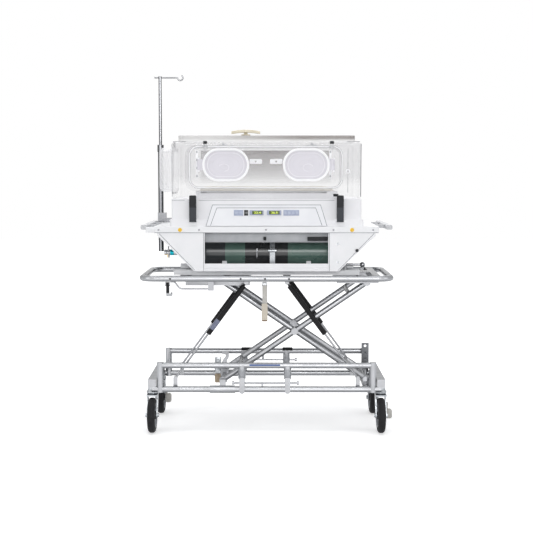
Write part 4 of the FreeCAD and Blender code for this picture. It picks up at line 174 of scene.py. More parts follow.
class Finish:
    """A material whose colour, roughness and relief vary as the real surface's do.

    Patches are as wide as handling and cleaning leave them. The grain is too fine to show at
    its real size, so it is drawn as coarse as it needs to show.
    """

    def __init__(self, name, light, dark, rough, patch_mm, grain_mm, relief_mm, **sockets):
        self.material = bpy.data.materials.new(name)
        self.material.use_nodes = True
        tree = self.tree = self.material.node_tree
        tree.nodes.clear()
        self.place = add(tree, "TexCoord", output="Object")
        patches = add(tree, "TexNoise", {
            "Vector": self.place, "Scale": 1 / (patch_mm * MM), "Detail": 4})
        grain = add(tree, "TexNoise", {
            "Vector": self.place, "Scale": 1 / (grain_mm * MM), "Detail": 2})
        relief = add(tree, "Bump", {"Strength": 0.5, "Distance": relief_mm * MM, "Height": grain})
        spread = {"Value": patches, "From Min": 0.3, "From Max": 0.7}
        share = add(tree, "MapRange", spread)
        worn = add(tree, "MapRange", {**spread, "To Min": rough[0], "To Max": rough[1]})
        self.colour = add(tree, "Mix", {0: share, 6: srgb(light), 7: srgb(dark)}, 2,
                          data_type="RGBA")
        self.shader = add(tree, "BsdfPrincipled", {
            "Base Color": self.colour, "Roughness": worn, "Normal": relief, **sockets}).node
        add(tree, "OutputMaterial", {"Surface": self.shader.outputs[0]})

    def normal(self, axis):
        """How far the surface faces along X, Y or Z."""
        return add(self.tree, "SeparateXYZ", {0: add(self.tree, "NewGeometry", (), "Normal")}, axis)

    def along(self, axis):
        """The place along X, Y or Z."""
        return add(self.tree, "SeparateXYZ", {0: self.place}, axis)

    def all_of(self, share, *others):
        """1 only where all the shares are 1."""
        for other in others:
            share = add(self.tree, "Math", {0: share, 1: other}, operation="MULTIPLY")
        return share

    def inside(self, *sides):
        """1 between a start and an end along each axis that is given, and 0 elsewhere."""
        limits = []
        for axis, start, end in sides:
            place = self.along(axis)
            limits.append(add(self.tree, "Math", {0: place, 1: start}, operation="GREATER_THAN"))
            limits.append(add(self.tree, "Math", {0: place, 1: end}, operation="LESS_THAN"))
        return self.all_of(*limits)

    def paint(self, share, colour):
        """Paints another colour where the share is 1."""
        self.colour = add(self.tree, "Mix", {0: share, 6: self.colour, 7: srgb(colour)}, 2,
                          data_type="RGBA")
        self.tree.links.new(self.colour, self.shader.inputs["Base Color"])
        return self

    def shade_edges(self, start, end, colour, most=0.9):
        """Paints a tone, mostly darker, where the surface turns away:
        a painted reflection, as of dark cards beside it.
        """
        facing = add(self.tree, "LayerWeight", {"Blend": 0.5}, "Facing")
        return self.paint(add(self.tree, "MapRange", {
            "Value": facing, "From Min": start, "From Max": end, "To Max": most}), colour)

    def bands(self, axis, *bands):
        """Paints bands across an axis, each from one place to the next."""
        for start, end, colour in bands:
            self.paint(self.inside((axis, start, end)), colour)
        return self

    def set_share(self, socket, share, low, high):
        """Gives a socket the low value where the share is 0 and the high one where it is 1."""
        value = add(self.tree, "MapRange", {"Value": share, "To Min": low, "To Max": high})
        self.tree.links.new(value, self.shader.inputs[socket])
        return self

    def glow(self, colour, strength):
        """Lets the surface shine by itself."""
        self.shader.inputs["Emission Color"].default_value = srgb(colour)
        self.shader.inputs["Emission Strength"].default_value = strength
        return self


# dark plastics and rubber shine less than the default
DULL = {"Specular IOR Level": 0.2}


# metals
def satin_steel(name, under="6E7074", most=0.5):
    """Satin stainless tube with painted reflections: a bright line along it that falls off to grey
    at its sides, and painted shade on its underside.
    """
    made = Finish(name, "B8B9BC", "ADAEB1", (0.26, 0.36), 60, 6.0, 0.004, Metallic=1.0)
    made.shade_edges(0.02, 0.22, "949699", 0.85).shade_edges(0.50, 0.92, "424448")
    # painted shade: darker where the tube faces down
    painted_underside_shade = add(made.tree, "MapRange", {
        "Value": made.normal(2), "From Min": 0.1, "From Max": -0.9, "To Max": most})
    return made.paint(painted_underside_shade, under)


steel = satin_steel("satin_stainless_tube")
# the lift arms hang in the shade of the deck: painted shade makes their undersides nearly black
# and their sides darker
arm_steel = satin_steel("satin_stainless_arm", "2E3033", 0.95)
arm_steel.shade_edges(0.25, 0.60, "4A4C50", 0.8)
# the base's frame: the same tube, with the darker zinc plate that is drilled for anchoring
frame_steel = satin_steel("satin_stainless_frame")
frame_steel.paint(frame_steel.all_of(frame_steel.inside(*ANCHOR_PLATE), 0.8), "5F6165")
# polished tube of the drip stand: a painted reflection of one bright line down its middle
# between dark sides
pole_steel = Finish("polished_stand_tube", "B0B1B4", "A4A5A9", (0.16, 0.24), 40, 6.0, 0.003,
                    Metallic=1.0)
pole_steel.shade_edges(0.03, 0.16, "2E3032", 0.95)
# polished chrome: sharp bright and dark bands of painted reflection, slightly hazed by cleaning
chrome = Finish("polished_chrome", "B4B5B8", "A9AAAE", (0.06, 0.14), 40, 8.0, 0.003, Metallic=1.0)
chrome.shade_edges(0.04, 0.12, "5C5E62", 0.9).shade_edges(0.26, 0.34, "A9AAAD", 1.0)
chrome.shade_edges(0.50, 0.85, "303236")
# zinc plate on pressed steel: a cooler, greyer shine that is broken up by the spangle,
# with a painted dark reflection where it turns away
zinc = Finish("zinc_plated_steel", "BFC2C5", "9DA1A5", (0.22, 0.36), 14, 3.0, 0.01, Metallic=1.0)
zinc.shade_edges(0.15, 0.85, "5E6166")
# chromed brass regulator: a warm shine with a painted dark reflection where it turns away,
# a teal ring and a yellow outlet
regulator_metal = Finish("chromed_regulator", "B9BABD", "A9ABAE", (0.16, 0.26), 12, 3.0, 0.01,
                         Metallic=0.8)
regulator_metal.shade_edges(0.3, 0.9, "55575B")
regulator_metal.paint(regulator_metal.inside(*YELLOW_OUTLET), "D9B23A")
regulator_metal.bands(0, (*TEAL_RING, "0FA5B5"))

# paints and coats
# black gloss paint of a gas strut: a narrow highlight down the tube
strut_paint = Finish("black_strut_paint", "101012", "151517", (0.42, 0.55), 25, 4.0, 0.005, **DULL)
# white powder coat on folded sheet: satin with a fine orange peel
powder = Finish("white_powder_coat", "EDEDEF", "E8E9EB", (0.34, 0.46), 60, 1.4, 0.04)
# grey metallic coat of the sleeve collars: darker than the steel on both sides of it
collar_grey = Finish("grey_collar_coat", "A2A4A8", "95979B", (0.30, 0.42), 30, 2.0, 0.02,
                     Metallic=0.5)
# pale grey coat of the side handles: a soft shine, a shade under the white of the tray
handle_grey = Finish("pale_grey_handle_coat", "CACBCD", "BFC0C3", (0.36, 0.48), 40, 1.4, 0.03)
# gas cylinder: gloss green paint with the dark bands of its sleeves, under a clear coat
cylinder_paint = Finish("green_cylinder_paint", "4B685E", "446056", (0.26, 0.34), 80, 6.0, 0.005,
                        **{"Coat Weight": 0.6, "Coat Roughness": 0.22})
cylinder_paint.bands(0, (*SHOULDER_SLEEVE, "23282B"), (*MIDDLE_SLEEVE, "15181A"))

# mouldings, rubber and film
# white ABS moulding: a fine spark-eroded texture that keeps highlights broad
abs_white = Finish("white_moulded_abs", "EEEEF0", "E9E9EC", (0.40, 0.52), 80, 0.6, 0.03)
# the panel's ABS: the same texture, a shade greyer than the housing round it
abs_panel = Finish("panel_abs", "E9EAED", "E4E5E9", (0.42, 0.54), 70, 0.6, 0.03)
# grey ABS: small matt fittings that stand out from the white
abs_grey = Finish("grey_moulded_abs", "B4B6B9", "A8AAAE", (0.42, 0.56), 40, 0.6, 0.05)
# nylon pads: warm and matt, rubbed smooth in patches by hands and shoes
pad_beige = Finish("grey_beige_nylon_pad", "C6C4BF", "B4B2AC", (0.45, 0.60), 20, 0.8, 0.05)
pad_tan = Finish("tan_nylon_buffer", "B8A68F", "A8967F", (0.45, 0.60), 20, 0.8, 0.05)
# black nylon: a dull black that stays off pure black in the light
nylon_black = Finish("black_nylon", "1A1B1D", "27282B", (0.38, 0.55), 18, 0.7, 0.05, **DULL)
# gloss blue plastic: a small clean highlight on the knob
knob_blue = Finish("blue_gloss_knob", "0A5DA8", "084C8E", (0.16, 0.26), 12, 1.0, 0.02)
# ivory moulding: a warm off-white that has yellowed unevenly
ivory = Finish("ivory_lamp_moulding", "E6DFCB", "D9D0B8", (0.34, 0.46), 35, 0.7, 0.04)
# solid rubber: matt, with paler dust in its grain
rubber = Finish("black_rubber", "1B1B1D", "2A2A2C", (0.62, 0.80), 25, 1.2, 0.08, **DULL)
# PVC hose: a soft shine along a plain grey skin
hose_skin = Finish("grey_pvc_hose", "A4A5A7", "939598", (0.32, 0.45), 12, 0.8, 0.02)
# vinyl stripe, label and discs: flat colour films with a soft shine and slightly worn patches
stripe_blue = Finish("blue_vinyl_stripe", "2B4C8C", "3A5B98", (0.30, 0.42), 15, 0.8, 0.01)
label_grey = Finish("blue_grey_vinyl_label", "6B7088", "7C8196", (0.34, 0.46), 10, 0.8, 0.01)
disc_yellow = Finish("yellow_vinyl_disc", "F0C22D", "E3B320", (0.30, 0.42), 8, 0.8, 0.01)
# seam: painted grey shadow in the gap between two mouldings
seam_shadow_grey = Finish("painted_seam_shadow_line", "787A80", "6E7076", (0.45, 0.60), 20, 0.8, 0.02)
# translucent cuff: a pale fold, painted a little lighter than the door behind it as a highlight
cuff_highlight = Finish("pale_cuff_fold_highlight", "F3F2F5", "E9E8EC", (0.40, 0.50), 20, 0.8, 0.02)
# soft white port rim, whiter than the mouldings beside it
rim_white = Finish("soft_white_port_rim", "F7F7F8", "F2F2F4", (0.36, 0.48), 30, 0.8, 0.02)
# painted dark line: the light trapped in the cut edge of a clear sheet, and the shade in a groove
edge_shade_line = Finish("painted_edge_shade", "7E7F83", "707176", (0.20, 0.30), 20, 0.8, 0.01)
# membrane keypad: a blue-violet printed film, with a little paler key fields
keypad_film = Finish("keypad_membrane", "A4ACC2", "98A0B8", (0.34, 0.46), 12, 0.8, 0.02)
key_film = Finish("keypad_fields", "B4BBCD", "A9B1C5", (0.34, 0.46), 12, 0.8, 0.02)
# display window: dark glossy filter
display = Finish("dark_display_filter", "101214", "16191C", (0.07, 0.14), 20, 1.5, 0.005)
# backlit reading field: dark olive glass that glows a little
reading_field = Finish("backlit_reading_field", "3A4522", "333E1E", (0.12, 0.20), 10, 1.5, 0.005)
reading_field.glow("5C6E26", 0.35)
# lit segments of a display: yellow green, the brightest colour on the panel
segments = Finish("lit_display_segments", "C2D430", "B4C628", (0.35, 0.45), 4, 0.8, 0.01)
segments.glow("C2D430", 0.9)
# mattress: a wipe-clean coated cover, cream, with the faint crossing of its knit backing
cover = Finish("coated_mattress_cover", "F8F4EC", "F1ECE2", (0.50, 0.62), 45, 2.0, 0.12,
               **{"Sheen Weight": 0.15})
# release hook: black sleeve over a bright bent foot
hook_sleeve = Finish("black_sleeve_on_bright_hook", "141416", "1C1C1F", (0.40, 0.55), 16, 0.7,
                     0.02, **DULL).bands(2, (*HOOK_FOOT, "B9BBBE"))
# hood clip: black grip over a dark grey draw bar
clip_black = Finish("black_clip_moulding", "1D1E20", "28292C", (0.34, 0.50), 16, 0.7, 0.05,
                    **DULL).bands(2, (*CLIP_BAR, "3B3D42"))


def lever_finish():
    """Bright lever bar with a tan grip that ends in a darker cap."""
    made = Finish("tan_grip_on_bright_bar", "C9CACC", "B5B7BA", (0.20, 0.30), 12, 3.0, 0.005)
    grip = made.inside((2, -FAR, GRIP_TOP))
    made.paint(grip, "B9B2A5").bands(2, (-FAR, GRIP_CAP, "6E5A45"))
    return made.set_share("Metallic", grip, 1.0, 0.35).set_share("Roughness", grip, 0.22, 0.42)


def wheel_finish():
    """Black solid rubber tyre on a grey nylon rim, told apart by the distance from the axle."""
    made = Finish("rubber_tyre_on_grey_rim", "1B1B1D", "262628", (0.60, 0.78), 18, 1.0, 0.10,
                  **DULL)
    tree = made.tree
    side = add(tree, "Math", {0: made.along(1)}, operation="ABSOLUTE")
    spot = add(tree, "CombineXYZ", {1: side, 2: made.along(2)})
    reach = add(tree, "VectorMath", {0: spot, 1: (0, WHEEL_Y, WHEEL_Z)}, "Value",
                operation="DISTANCE")
    rim, hub = (add(tree, "Math", {0: reach, 1: radius}, operation="LESS_THAN")
                for radius in (RIM_RADIUS, HUB_RADIUS))
    made.paint(rim, "8E9196").paint(hub, "3A3B3E")
    return made.set_share("Roughness", rim, 0.68, 0.42)


def latch_finish():
    """Door latch: a black thumb piece over a clear tongue that holds the door."""
    made = Finish("black_latch_on_clear_tongue", "1A1B1D", "27282B", (0.34, 0.48), 18, 2.0, 0.01,
                  **DULL)
    tongue = made.inside((2, -FAR, TONGUE_TOP))
    return made.paint(tongue, "D9DADC").set_share("Alpha", tongue, 1.0, 0.25)


# clear sheet
def clear_finish(name, colour, glint_colour, faced, edged, rough, low_share=1.0):
    """Clear or misted sheet: faint when faced, and denser along its edges,
    where it is painted whiter as a glint.

    Its shadow is thinned, as light passes through the real sheet, and so is its lowest part.
    """
    made = Finish(name, colour, colour, (rough, rough * 1.6), 90, 6.0, 0.002)
    facing = add(made.tree, "LayerWeight", {"Blend": 0.35}, "Facing")
    dense = add(made.tree, "MapRange", {"Value": facing, "To Min": faced, "To Max": edged})
    lit = add(made.tree, "MapRange", {
        "Value": add(made.tree, "LightPath", (), "Is Shadow Ray"), "To Min": 1.0, "To Max": 0.15})
    upper = add(made.tree, "MapRange", {
        "Value": made.along(2), "From Min": CLEAR_LOW, "From Max": CLEAR_HIGH,
        "To Min": low_share})
    made.tree.links.new(made.all_of(dense, lit, upper), made.shader.inputs["Alpha"])
    # painted glint: whiter where the sheet turns away
    return made.paint(facing, glint_colour)


def lid_finish():
    """Clear lid whose thick edge is frosted: white at its foot and grey brown along its top."""
    made = clear_finish("lid_with_frosted_edge", "EDEDEC", "F2F2F2", 0.05, 0.30, 0.10)
    upright = add(made.tree, "Math", {0: made.normal(2)}, operation="ABSOLUTE")
    edge = add(made.tree, "Math", {0: upright, 1: 0.5}, operation="LESS_THAN")
    high = add(made.tree, "MapRange", {
        "Value": made.along(2), "From Min": HOOD_TOP + 0.005, "From Max": ROOF_TOP - 0.010})
    right = add(made.tree, "MapRange", {
        "Value": made.along(0), "From Min": LID_PALE, "From Max": LID_DARK, "To Min": 0.35})
    made.paint(made.all_of(high, right, edge), "7D7672")
    return made.set_share("Alpha", edge, 0.07, 0.86)


def port_door_finish():
    """Misted soft door: translucent lilac grey with the faint rings of its moulding."""
    made = clear_finish("misted_port_door", "E0DEE5", "F2F1F5", 0.72, 0.90, 0.22)
    tree = made.tree
    across = add(tree, "Math", {0: made.along(0), 1: PORT_MIDDLE}, operation="SUBTRACT")
    side = add(tree, "Math", {0: across}, operation="ABSOLUTE")
    spot = add(tree, "CombineXYZ", {0: side, 2: made.along(2)})
    away = add(tree, "VectorMath", {0: spot, 1: (PORT_REACH, 0, PORT_Z)}, operation="SUBTRACT")
    share = add(tree, "VectorMath", {0: away, 1: (PORT_HALF, 1, PORT_HIGH)}, operation="DIVIDE")
    reach = add(tree, "VectorMath", {0: share}, "Value", operation="LENGTH")
    turns = math.tau * PORT_HALF / (RING_PITCH_MM * MM)
    waves = add(tree, "Math", {0: reach, 1: turns}, operation="MULTIPLY")
    rings = add(tree, "Math", {0: waves}, operation="SINE")
    return made.paint(add(tree, "Math", {0: rings, 1: 0.95}, operation="GREATER_THAN"), "D9D7DE")


def rear_reflection_finish():
    """Painted dark reflection on the rear wall: a grey tint that is strongest at the top of its
    middle.
    """
    made = clear_finish("painted_rear_reflection", "8C8784", "8C8784", 0.30, 0.60, 0.12)
    # painted dark reflection: denser grey towards the top of the middle
    high = add(made.tree, "MapRange", {
        "Value": made.along(2), "From Min": REFLECTION_LOW, "From Max": REFLECTION_HIGH})
    side = add(made.tree, "Math", {0: made.along(0)}, operation="ABSOLUTE")
    middle = add(made.tree, "MapRange", {
        "Value": side, "From Max": REFLECTION_SIDE, "To Min": 1.0, "To Max": 0.45})
    return made.set_share("Alpha", made.all_of(high, middle), 0.02, 0.62)


# cast acrylic: nearly clear, with painted white glints at bends and cut edges; its grey is a
# painted reflection, thinned towards its foot
acrylic = clear_finish("clear_cast_acrylic", "C2C1C5", "F3F3F5", 0.14, 0.42, 0.05, 0.4)
# head door: the same sheet, bulged and thicker, and painted whiter as the reflection on its bulge
head_acrylic = clear_finish("bulged_head_door_acrylic", "EDEDEF", "F6F6F8", 0.22, 0.55, 0.06)

NODE_FINISHES = {
    frame_steel: ("base_frame",),
    steel: ("lower_carriage", "deck_rail", "deck_frame"),
    arm_steel: ("inner_lift_arms", "outer_lift_arms"),
    pole_steel: ("iv_pole", "iv_pole_upper"),
    chrome: ("lock_rods", "base_pivot_shaft", "upper_carriage", "left_strut_rods",
             "right_strut_rods", "release_linkage", "docking_latch"),
    zinc: ("cylinder_clamp", "caster_fork_fl", "caster_fork_fr", "caster_fork_rl",
           "caster_fork_rr"),
    wheel_finish(): ("caster_wheel_fl", "caster_wheel_fr", "caster_wheel_rl", "caster_wheel_rr"),
    rubber: ("bumper_pads",),
    pad_beige: ("brake_pedal_fr", "brake_pedal_rl"),
    strut_paint: ("left_strut_cylinders", "right_strut_cylinders"),
    lever_finish(): ("height_lever",),
    nylon_black: ("head_door_latch",),
    hook_sleeve: ("release_lever",),
    latch_finish(): ("door_latch_left", "door_latch_right"),
    powder: ("tray", "bay_frame", "bay_cheeks"),
    handle_grey: ("side_handles",),
    cylinder_paint: ("gas_cylinder_front", "gas_cylinder_rear"),
    regulator_metal: ("regulator",),
    knob_blue: ("regulator_knob",),
    abs_white: ("housing", "mattress_tray", "port_rims", "port_latch_left", "port_latch_right"),
    abs_panel: ("control_panel",),
    display: ("display_windows",),
    clip_black: ("hood_latch_left", "hood_latch_right"),
    acrylic: ("hood_shell", "front_door"),
    head_acrylic: ("head_door",),
    lid_finish(): ("roof_panel",),
    port_door_finish(): ("port_door_left", "port_door_right"),
}
for finish, names in NODE_FINISHES.items():
    for name in names:
        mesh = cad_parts[name].data
        mesh.materials.clear()
        mesh.materials.append(finish.material)


# camera and cord
def front_camera():
    """The long lens that sees the trolley from straight ahead."""
    lens = bpy.data.cameras.new("camera")
    lens.lens = LENS_MM
    lens.sensor_width = SENSOR_MM
    camera = bpy.data.objects.new("camera", lens)
    camera.location = CAMERA_PLACE
    camera.rotation_euler = (math.radians(90 - CAMERA_DOWN), 0, math.radians(CAMERA_LEFT))
    bpy.context.collection.objects.link(camera)
    bpy.context.scene.camera = camera


def gas_hose():
    """The thin hose from the regulator up into the tray, bending as one smooth line."""
    curve = bpy.data.curves.new("hose_line", "CURVE")
    curve.dimensions = "3D"
    curve.bevel_depth = HOSE_DIAMETER / 2
    curve.bevel_resolution = 6
    curve.use_fill_caps = True
    spline = curve.splines.new("NURBS")
    spline.points.add(len(HOSE_ROUTE_MM) - 1)
    for point, (left, out, up) in zip(spline.points, HOSE_ROUTE_MM):
        spot = HOSE_FOOT + Vector((left * MM, out * MM, HOSE_RISE * up))
        point.co = (*spot, 1)
    spline.order_u = 3
    spline.use_endpoint_u = True
    curve.materials.append(hose_skin.material)
    hose = bpy.data.objects.new("gas_hose_line", curve)
    bpy.context.collection.objects.link(hose)
    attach(hose, "deck")
    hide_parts("gas_hose")


front_camera()
gas_hose()


# shapes
def soften(bm, edges, size, segments=2):
    """Rounds edges over, or leaves them sharp where the size is 0."""
    if size:
        bmesh.ops.bevel(bm, geom=edges, offset=size, offset_type="OFFSET", segments=segments,
                        profile=0.5, affect="EDGES", material=-1, clamp_overlap=True)


def edges_of(corners):
    """The edges that meet at these corners, each once and always in the same order."""
    return list(dict.fromkeys(e for v in corners for e in v.link_edges))


def block(bm, size, matrix, edge=0.0006):
    """A block of that size, put in place by a matrix, with its edges rounded over."""
    corners = bmesh.ops.create_cube(bm, size=1)["verts"]
    bmesh.ops.scale(bm, vec=size, verts=corners)
    bmesh.ops.transform(bm, matrix=matrix, verts=corners)
    soften(bm, edges_of(corners), edge)


def rod(bm, radius, start, end, edge=0.0005, segments=40):
    """A round bar from start to end with softened ends."""
    run = end - start
    turn = UPWARDS.rotation_difference(run).to_matrix().to_4x4()
    matrix = Matrix.Translation((start + end) / 2) @ turn
    corners = bmesh.ops.create_cone(bm, cap_ends=True, segments=segments, radius1=radius,
                                    radius2=radius, depth=run.length, matrix=matrix)["verts"]
    rims = [e for e in edges_of(corners) if any(len(f.verts) > 4 for f in e.link_faces)]
    soften(bm, rims, edge)


def turned(bm, profile, start, axis, segments=48):
    """A turned form from a profile of radius and height along an axis."""
    others = set(bm.verts)
    spots = [bm.verts.new((radius, 0, height)) for radius, height in profile]
    edges = [bm.edges.new(pair) for pair in zip(spots, spots[1:])]
    bmesh.ops.spin(bm, geom=spots + edges, cent=(0, 0, 0), axis=(0, 0, 1),
                   angle=math.tau, steps=segments, use_merge=True)
    turn = UPWARDS.rotation_difference(axis).to_matrix().to_4x4()
    bmesh.ops.transform(bm, matrix=Matrix.Translation(start) @ turn,
                        verts=[v for v in bm.verts if v not in others])


def rounded_frame(bm, middle, half, corner, wide, deep):
    """An upright frame with round corners, facing the front, and open in its middle."""
    x, y, z = middle
    others = set(bm.faces)
    spots = [bm.verts.new((x + sx * half[0], y, z + sz * half[1]))
             for sx, sz in ((-1, -1), (1, -1), (1, 1), (-1, 1))]
    bm.faces.new(spots)
    bmesh.ops.bevel(bm, geom=spots, offset=corner, offset_type="OFFSET", segments=12,
                    profile=0.5, affect="VERTICES", material=-1, clamp_overlap=True)
    panel = next(f for f in bm.faces if f not in others)
    ring = bmesh.ops.inset_region(bm, faces=[panel], thickness=wide, use_even_offset=True,
                                  use_boundary=True)["faces"]
    bmesh.ops.delete(bm, geom=[panel], context="FACES_ONLY")
    grown = bmesh.ops.extrude_face_region(bm, geom=ring, use_keep_orig=True)
    moved = [g for g in grown["geom"] if isinstance(g, bmesh.types.BMVert)]
    bmesh.ops.translate(bm, vec=FRONT * deep, verts=moved)


def at(x, y, z):
    """A place for a block."""
    return Matrix.Translation((x, y, z))


def bead(bm, start, end, wide, thick, out=FRONT):
    """A straight flat bead of that width and thickness, on a face that looks outwards."""
    along = (end - start).normalized()
    side = out.cross(along).normalized()
    turn = Matrix((along, side, along.cross(side))).transposed().to_4x4()
    block(bm, ((end - start).length + wide, wide, thick),
          Matrix.Translation((start + end) / 2) @ turn, 0.0002)


def piece(name, bm, body, finish):
    """The finished piece: closed, with its faces outwards, riding on its body."""
    bmesh.ops.remove_doubles(bm, verts=bm.verts, dist=1e-6)
    bmesh.ops.recalc_face_normals(bm, faces=bm.faces)
    for face in bm.faces:
        face.smooth = True
    for edge in bm.edges:
        edge.smooth = edge.calc_face_angle(math.pi) < math.radians(40)
    mesh = bpy.data.meshes.new(name)
    bm.to_mesh(mesh)
    bm.free()
    mesh.materials.append(finish.material)
    made = bpy.data.objects.new(name, mesh)
    bpy.context.collection.objects.link(made)
    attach(made, body)
    return made


# mattress
def mattress():
    """A foam pad in a smooth cover that swells between its edges and lies flat on the bed."""
    bm = bmesh.new()
    size = (MATTRESS_HALF.x * 2 - 0.008, MATTRESS_HALF.y * 2 - 0.008,
            MATTRESS_TOP - MATTRESS_LOW - 0.006)
    block(bm, size, at(0, 0, (MATTRESS_LOW + MATTRESS_TOP) / 2), 0)
    soften(bm, list(bm.edges), 0.012, 4)
    pad = piece("mattress_pad", bm, "deck", cover)
    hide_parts("mattress")
    swell(pad, SWELL)
    for polygon in pad.data.polygons:
        polygon.use_smooth = True
    keep_inside(pad)


def swell(pad, most):
    """Blows the cover up a little as cloth, with no point moved by more than most."""
    scene = bpy.context.scene
    bpy.context.view_layer.objects.active = pad
    remesh = pad.modifiers.new("even_mesh", "REMESH")
    remesh.mode = "VOXEL"
    remesh.voxel_size = VOXEL
    bpy.ops.object.modifier_apply(modifier="even_mesh")
    before = [v.co.copy() for v in pad.data.vertices]
    cloth = pad.modifiers.new("cover", "CLOTH")
    cloth.settings.use_pressure = True
    cloth.settings.uniform_pressure_force = 4
    cloth.settings.effector_weights.gravity = 0
    for step in range(CLOTH_FRAMES):
        scene.frame_set(step + 1)
    ready = pad.evaluated_get(bpy.context.evaluated_depsgraph_get())
    after = [v.co.copy() for v in ready.data.vertices]
    pad.modifiers.remove(cloth)
    scene.frame_set(1)
    for vertex, start, end in zip(pad.data.vertices, before, after):
        move = end - start
        if move.length > most:
            move = move.normalized() * most
        vertex.co = start + move
    smooth = pad.modifiers.new("finer", "SUBSURF")
    smooth.levels = smooth.render_levels = 1
    bpy.ops.object.modifier_apply(modifier="finer")


def keep_inside(pad):
    """Lays the pad flat on the bed, within its place, with a soft unevenness on top."""
    for vertex in pad.data.vertices:
        spot = vertex.co
        ripple = 0.0012 * math.sin(spot.x * 31) * math.cos(spot.y * 23) - 0.0012
        spot.x = max(-MATTRESS_HALF.x, min(MATTRESS_HALF.x, spot.x))
        spot.y = max(-MATTRESS_HALF.y, min(MATTRESS_HALF.y, spot.y))
        spot.z = max(MATTRESS_LOW, min(MATTRESS_TOP, spot.z + ripple))


mattress()


# control panel
def on_panel(x, up, out):
    """A place on the leaning panel: across it, up its slope and out from its face."""
    return PANEL_FOOT + ACROSS * x + PANEL_UP * up + PANEL_OUT * out


def panel_plate(bm, left, right, low, high, out, thick, edge=0.0003):
    """A thin plate lying on the panel."""
    middle = on_panel((left + right) / 2, (low + high) / 2, out + thick / 2)
    block(bm, (right - left, high - low, thick), Matrix.Translation(middle) @ PANEL_TURN, edge)


def panel_seams():
    """Painted shadow lines round the panel and its inner field, and along the housing above it."""
    bm = bmesh.new()
    for corners in PANEL_SEAMS:
        spots = [on_panel(x, up, 0.0001) for x, up in corners]
        for start, end in zip(spots, spots[1:]):
            bead(bm, start, end, 0.0019, 0.0007, PANEL_OUT)
    piece("panel_seam", bm, "deck", seam_shadow_grey)
    bm = bmesh.new()
    for left, right, wide in HOUSING_SEAMS:
        start, end = (Vector((x, HOUSING_FACE, HOUSING_SEAM_UP)) for x in (left, right))
        bead(bm, start, end, wide, 0.0006)
    piece("housing_seam", bm, "deck", seam_shadow_grey)


def keypads():
    """The printed films on the strip, their keys and the dark indicator between them."""
    low, high = KEYPAD_UP - KEYPAD_HALF, KEYPAD_UP + KEYPAD_HALF
    films, keys, indicator = bmesh.new(), bmesh.new(), bmesh.new()
    for left, right, count in KEYPADS:
        panel_plate(films, left, right, low, high, STRIP_OUT, 0.0006)
        pitch = (right - left) / count
        reach = pitch * KEY_SHARE / 2
        for key in range(count):
            x = left + pitch * (key + 0.5)
            panel_plate(keys, x - reach, x + reach, KEYPAD_UP - KEY_HIGH / 2,
                        KEYPAD_UP + KEY_HIGH / 2, STRIP_OUT + 0.00055, 0.0007)
    panel_plate(indicator, *INDICATOR, low, high, STRIP_OUT, 0.0008)
    piece("keypad_films", films, "deck", keypad_film)
    piece("keypad_keys", keys, "deck", key_film)
    piece("indicator_blocks", indicator, "deck", display)


def display_frames():
    """A pale frame round each reading field."""
    bars, fields = bmesh.new(), bmesh.new()
    foot, head = WINDOW_UP - WINDOW_HALF, WINDOW_UP + WINDOW_HALF
    field_foot, field_head = foot + FRAME_BAR, head - FRAME_BAR
    for left, first, last, right in DISPLAY_FRAMES:
        for x0, x1, low, high in ((left, first, foot, head), (last, right, foot, head),
                                  (first, last, foot, field_foot), (first, last, field_head, head)):
            panel_plate(bars, x0, x1, low, high, WINDOW_OUT, 0.0005)
        panel_plate(fields, first, last, field_foot, field_head, WINDOW_OUT, 0.0002, 0.0001)
    piece("display_frames", bars, "deck", keypad_film)
    piece("display_fields", fields, "deck", reading_field)


def display_figures():
    """The lit numbers of each display, as a sensor's reading."""
    for word, (x, text) in READINGS.items():
        letters = bpy.data.curves.new("figures_" + word, "FONT")
        letters.body = text
        letters.size = FIGURE_HIGH
        letters.extrude = 0.0001
        letters.align_x = letters.align_y = "CENTER"
        made = bpy.data.objects.new("letters_" + word, letters)
        bpy.context.collection.objects.link(made)
        flat = bpy.data.meshes.new_from_object(
            made.evaluated_get(bpy.context.evaluated_depsgraph_get()))
        bpy.data.objects.remove(made)
        bm = bmesh.new()
        bm.from_mesh(flat)
        place = Matrix.Translation(on_panel(x, WINDOW_UP, WINDOW_OUT + 0.0004)) @ PANEL_TURN
        bmesh.ops.transform(bm, matrix=place @ Matrix.Diagonal((FIGURE_STRETCH, 1, 1, 1)),
                            verts=bm.verts)
        piece("display_figures_" + word, bm, "deck", segments)


panel_seams()
keypads()
display_frames()
display_figures()


# trolley
def hook_trim():
    """The tan buffer and the bright guard on the left side of the lock hook."""
    bm = bmesh.new()
    block(bm, (0.028, 0.014, 0.040), at(HOOK_X, 0, BUFFER_Z), 0.004)
    piece("hook_buffer", bm, "lower_carriage", pad_tan)
    bm = bmesh.new()
    block(bm, (0.028, 0.010, 0.074), at(HOOK_X, 0, GUARD_Z), 0.004)
    head = ((0, 0.003), (0.006, 0.0026), (0.0075, 0), (0, 0))
    turned(bm, head, Vector((HOOK_X, -0.005, GUARD_Z + 0.020)), FRONT, 24)
    piece("hook_guard", bm, "lower_carriage", zinc)


def base_stripe():
    """The blue stripe along the front of the upper rail."""
    bm = bmesh.new()
    face = -BASE_HALF_WIDTH - TUBE_RADIUS - 0.0002
    ends = [bm.verts.new((x, face, UPPER_RAIL)) for x in STRIPE_ENDS]
    bmesh.ops.spin(bm, geom=ends + [bm.edges.new(ends)], cent=(0, -BASE_HALF_WIDTH, UPPER_RAIL),
                   axis=ACROSS, angle=math.radians(STRIPE_TURN), steps=6)
    bmesh.ops.solidify(bm, geom=list(bm.faces), thickness=0.0004)
    piece("base_stripe", bm, "base", stripe_blue)


def post_collars():
    """The grey collars round the lower part of the tee posts."""
    bm = bmesh.new()
    for x in TEE_POSTS:
        for side in (-1, 1):
            foot = Vector((x, side * BASE_HALF_WIDTH, COLLAR_FOOT))
            rod(bm, COLLAR_RADIUS, foot, foot + UPWARDS * COLLAR_HIGH, 0.0015)
    piece("post_collars", bm, "base", collar_grey)


